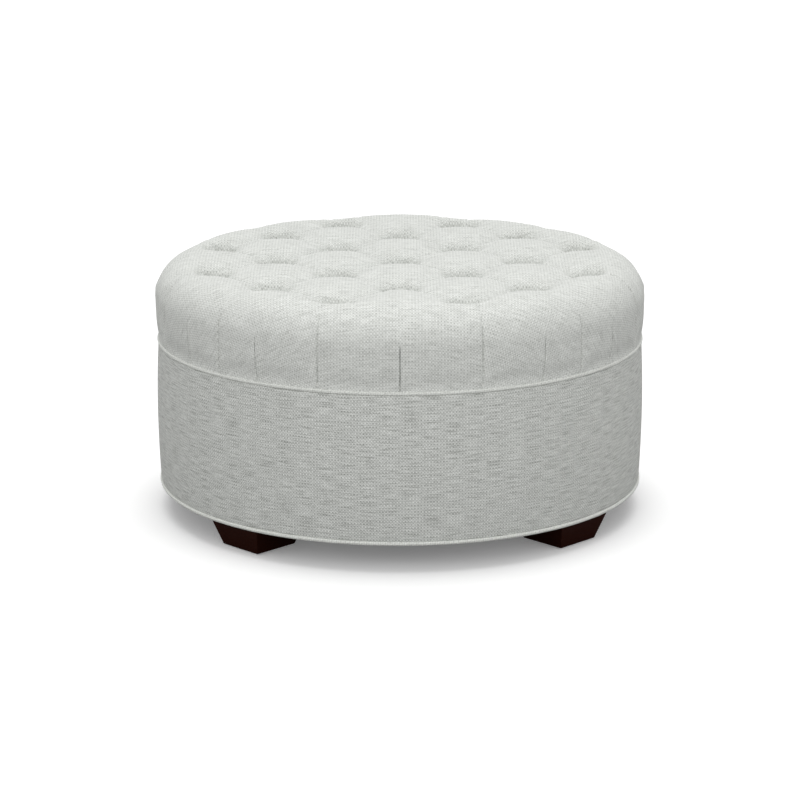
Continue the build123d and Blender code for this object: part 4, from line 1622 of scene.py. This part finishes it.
@dataclass
class Studio:
    """Camera, soft lamps and a pale floor that keeps the object's shadow."""

    eye: tuple[float, float, float] = (0.0, -5.027, 1.526)
    pitch_degrees: float = 14.84
    lens_mm: float = 123.5
    sky: float = 0.57
    sun: float = 1.40
    sun_tilt_degrees: float = -14.0
    sun_spread_degrees: float = 54.0
    fill_watts: float = 9.5
    fill_size: float = 1.8
    fill_place: tuple[float, float, float] = (0.0, -2.3, 1.0)
    fill_tilt_degrees: float = 69.0
    side_watts: float = 7.1
    side_size: tuple[float, float] = (1.8, 0.8)
    side_place: tuple[float, float, float] = (2.2, -1.7, 0.9)
    side_tilt_degrees: float = 77.0
    side_turn_degrees: float = 52.0
    floor_bounce: str = "#808080"
    floor_lift: float = 0.14
    floor_side: float = 80.0

    def camera(self) -> None:
        """Puts the camera where the photograph was taken from."""
        start_clean()
        tilt = math.radians(90 - self.pitch_degrees)
        bpy.ops.object.camera_add(location=self.eye, rotation=(tilt, 0, 0))
        camera = bpy.context.object
        camera.data.lens = self.lens_mm
        camera.data.sensor_width = 36.0
        camera.data.clip_end = 200.0
        bpy.context.scene.camera = camera

    def seen_straight(self, tree: Tree) -> Socket:
        """One where a ray comes from the camera, a mirror or glass, and zero elsewhere.

        Args:
            tree: the node tree.

        Returns:
            The socket that gives one or zero.
        """
        path = put(tree, "LightPath")
        seen = path.outputs["Is Camera Ray"]
        for name in ("Is Glossy Ray", "Is Transmission Ray"):
            either = {0: seen, 1: path.outputs[name]}
            seen = put(tree, "Math", {"operation": "MAXIMUM"}, links=either).outputs[0]
        return seen

    def world(self) -> None:
        """An even sky: white where it is seen, softer where it lights."""
        world = bpy.data.worlds.new("studio")
        tree = bare_tree(world)
        lit = put(tree, "Background", values={"Color": WHITE, "Strength": self.sky})
        seen = put(tree, "Background", values={"Color": WHITE, "Strength": 1.0})
        mixed = put(tree, "MixShader", links={0: self.seen_straight(tree), 1: lit, 2: seen})
        put(tree, "OutputWorld", links={"Surface": mixed})
        bpy.context.scene.world = world

    def lamp(
        self,
        kind: str,
        place: tuple[float, float, float],
        tilt: float,
        turn: float,
        **settings: object,
    ) -> None:
        """Adds one lamp.

        Args:
            kind: its type.
            place: where it stands.
            tilt: how far it is turned about X, in degrees.
            turn: how far it is then turned about Z, in degrees.
            settings: its own values, by name.
        """
        start_clean()
        rotation = (math.radians(tilt), 0, math.radians(turn))
        bpy.ops.object.light_add(type=kind, location=place, rotation=rotation)
        for name, value in settings.items():
            setattr(bpy.context.object.data, name, value)

    def lamps(self) -> None:
        """One broad soft lamp overhead, a weak one in front, and a low wide one on each side."""
        spread = math.radians(self.sun_spread_degrees)
        self.lamp("SUN", (0, 0, 3), self.sun_tilt_degrees, 0, energy=self.sun, angle=spread)
        front = {"shape": "DISK", "size": self.fill_size, "energy": self.fill_watts}
        self.lamp("AREA", self.fill_place, self.fill_tilt_degrees, 0, **front)
        long, short = self.side_size
        beside = {"shape": "ELLIPSE", "size": long, "size_y": short, "energy": self.side_watts}
        x, y, z = self.side_place
        for side in (-1, 1):
            turn = side * self.side_turn_degrees
            self.lamp("AREA", (side * x, y, z), self.side_tilt_degrees, turn, **beside)

    def floor(self) -> None:
        """The floor: white where it is seen, darker where it throws light back."""
        start_clean()
        bpy.ops.mesh.primitive_plane_add(size=self.floor_side)
        floor = bpy.context.object
        floor.name = "studio_floor"
        coat = bpy.data.materials.new("pale_floor")
        tree = bare_tree(coat)
        bounce = put(tree, "BsdfDiffuse", values={"Color": linear(self.floor_bounce)})
        white = put(tree, "BsdfDiffuse", values={"Color": WHITE})
        lift = put(tree, "Emission", values={"Color": WHITE, "Strength": self.floor_lift})
        seen = put(tree, "AddShader", links={0: white, 1: lift})
        mixed = put(tree, "MixShader", links={0: self.seen_straight(tree), 1: bounce, 2: seen})
        put(tree, "OutputMaterial", links={"Surface": mixed})
        floor.data.materials.append(coat)

    def build(self) -> None:
        """Sets up the whole studio."""
        self.camera()
        self.world()
        self.lamps()
        self.floor()
        bpy.context.scene.view_settings.view_transform = "Standard"


def main() -> None:
    """Builds the ottoman's pieces in order, from the crown down, and then the studio."""
    logging.basicConfig(level=logging.INFO, format="%(message)s")
    Studio().build()
    crown = CrownCover()
    crown.build()
    CoveredButtons(crown.layout).build()
    welt_cloth = WELT_CLOTH.make()
    Welt(
        WeltPlace.CROWN,
        324.4 * MM,
        "mid_welt_sleeve",
        (
            (446.0 * MM, 324.85 * MM),
            (445.0 * MM, 324.85 * MM),
            (445.0 * MM, 303.7 * MM),
            (445.7 * MM, 303.7 * MM),
            (445.7 * MM, 323.95 * MM),
        ),
    ).build(welt_cloth)
    Welt(
        WeltPlace.BASE,
        53.2 * MM,
        "base_welt_sleeve",
        (
            (446.0 * MM, 51.3 * MM),
            (426.7 * MM, 51.3 * MM),
            (426.7 * MM, 50.4 * MM),
            (446.4 * MM, 50.4 * MM),
        ),
    ).build(welt_cloth)
    SideCover().build()
    HiddenPadding(crown).build()
    DustCover().build()
    FrameDressing().build()


if __name__ == "__main__":
    main()
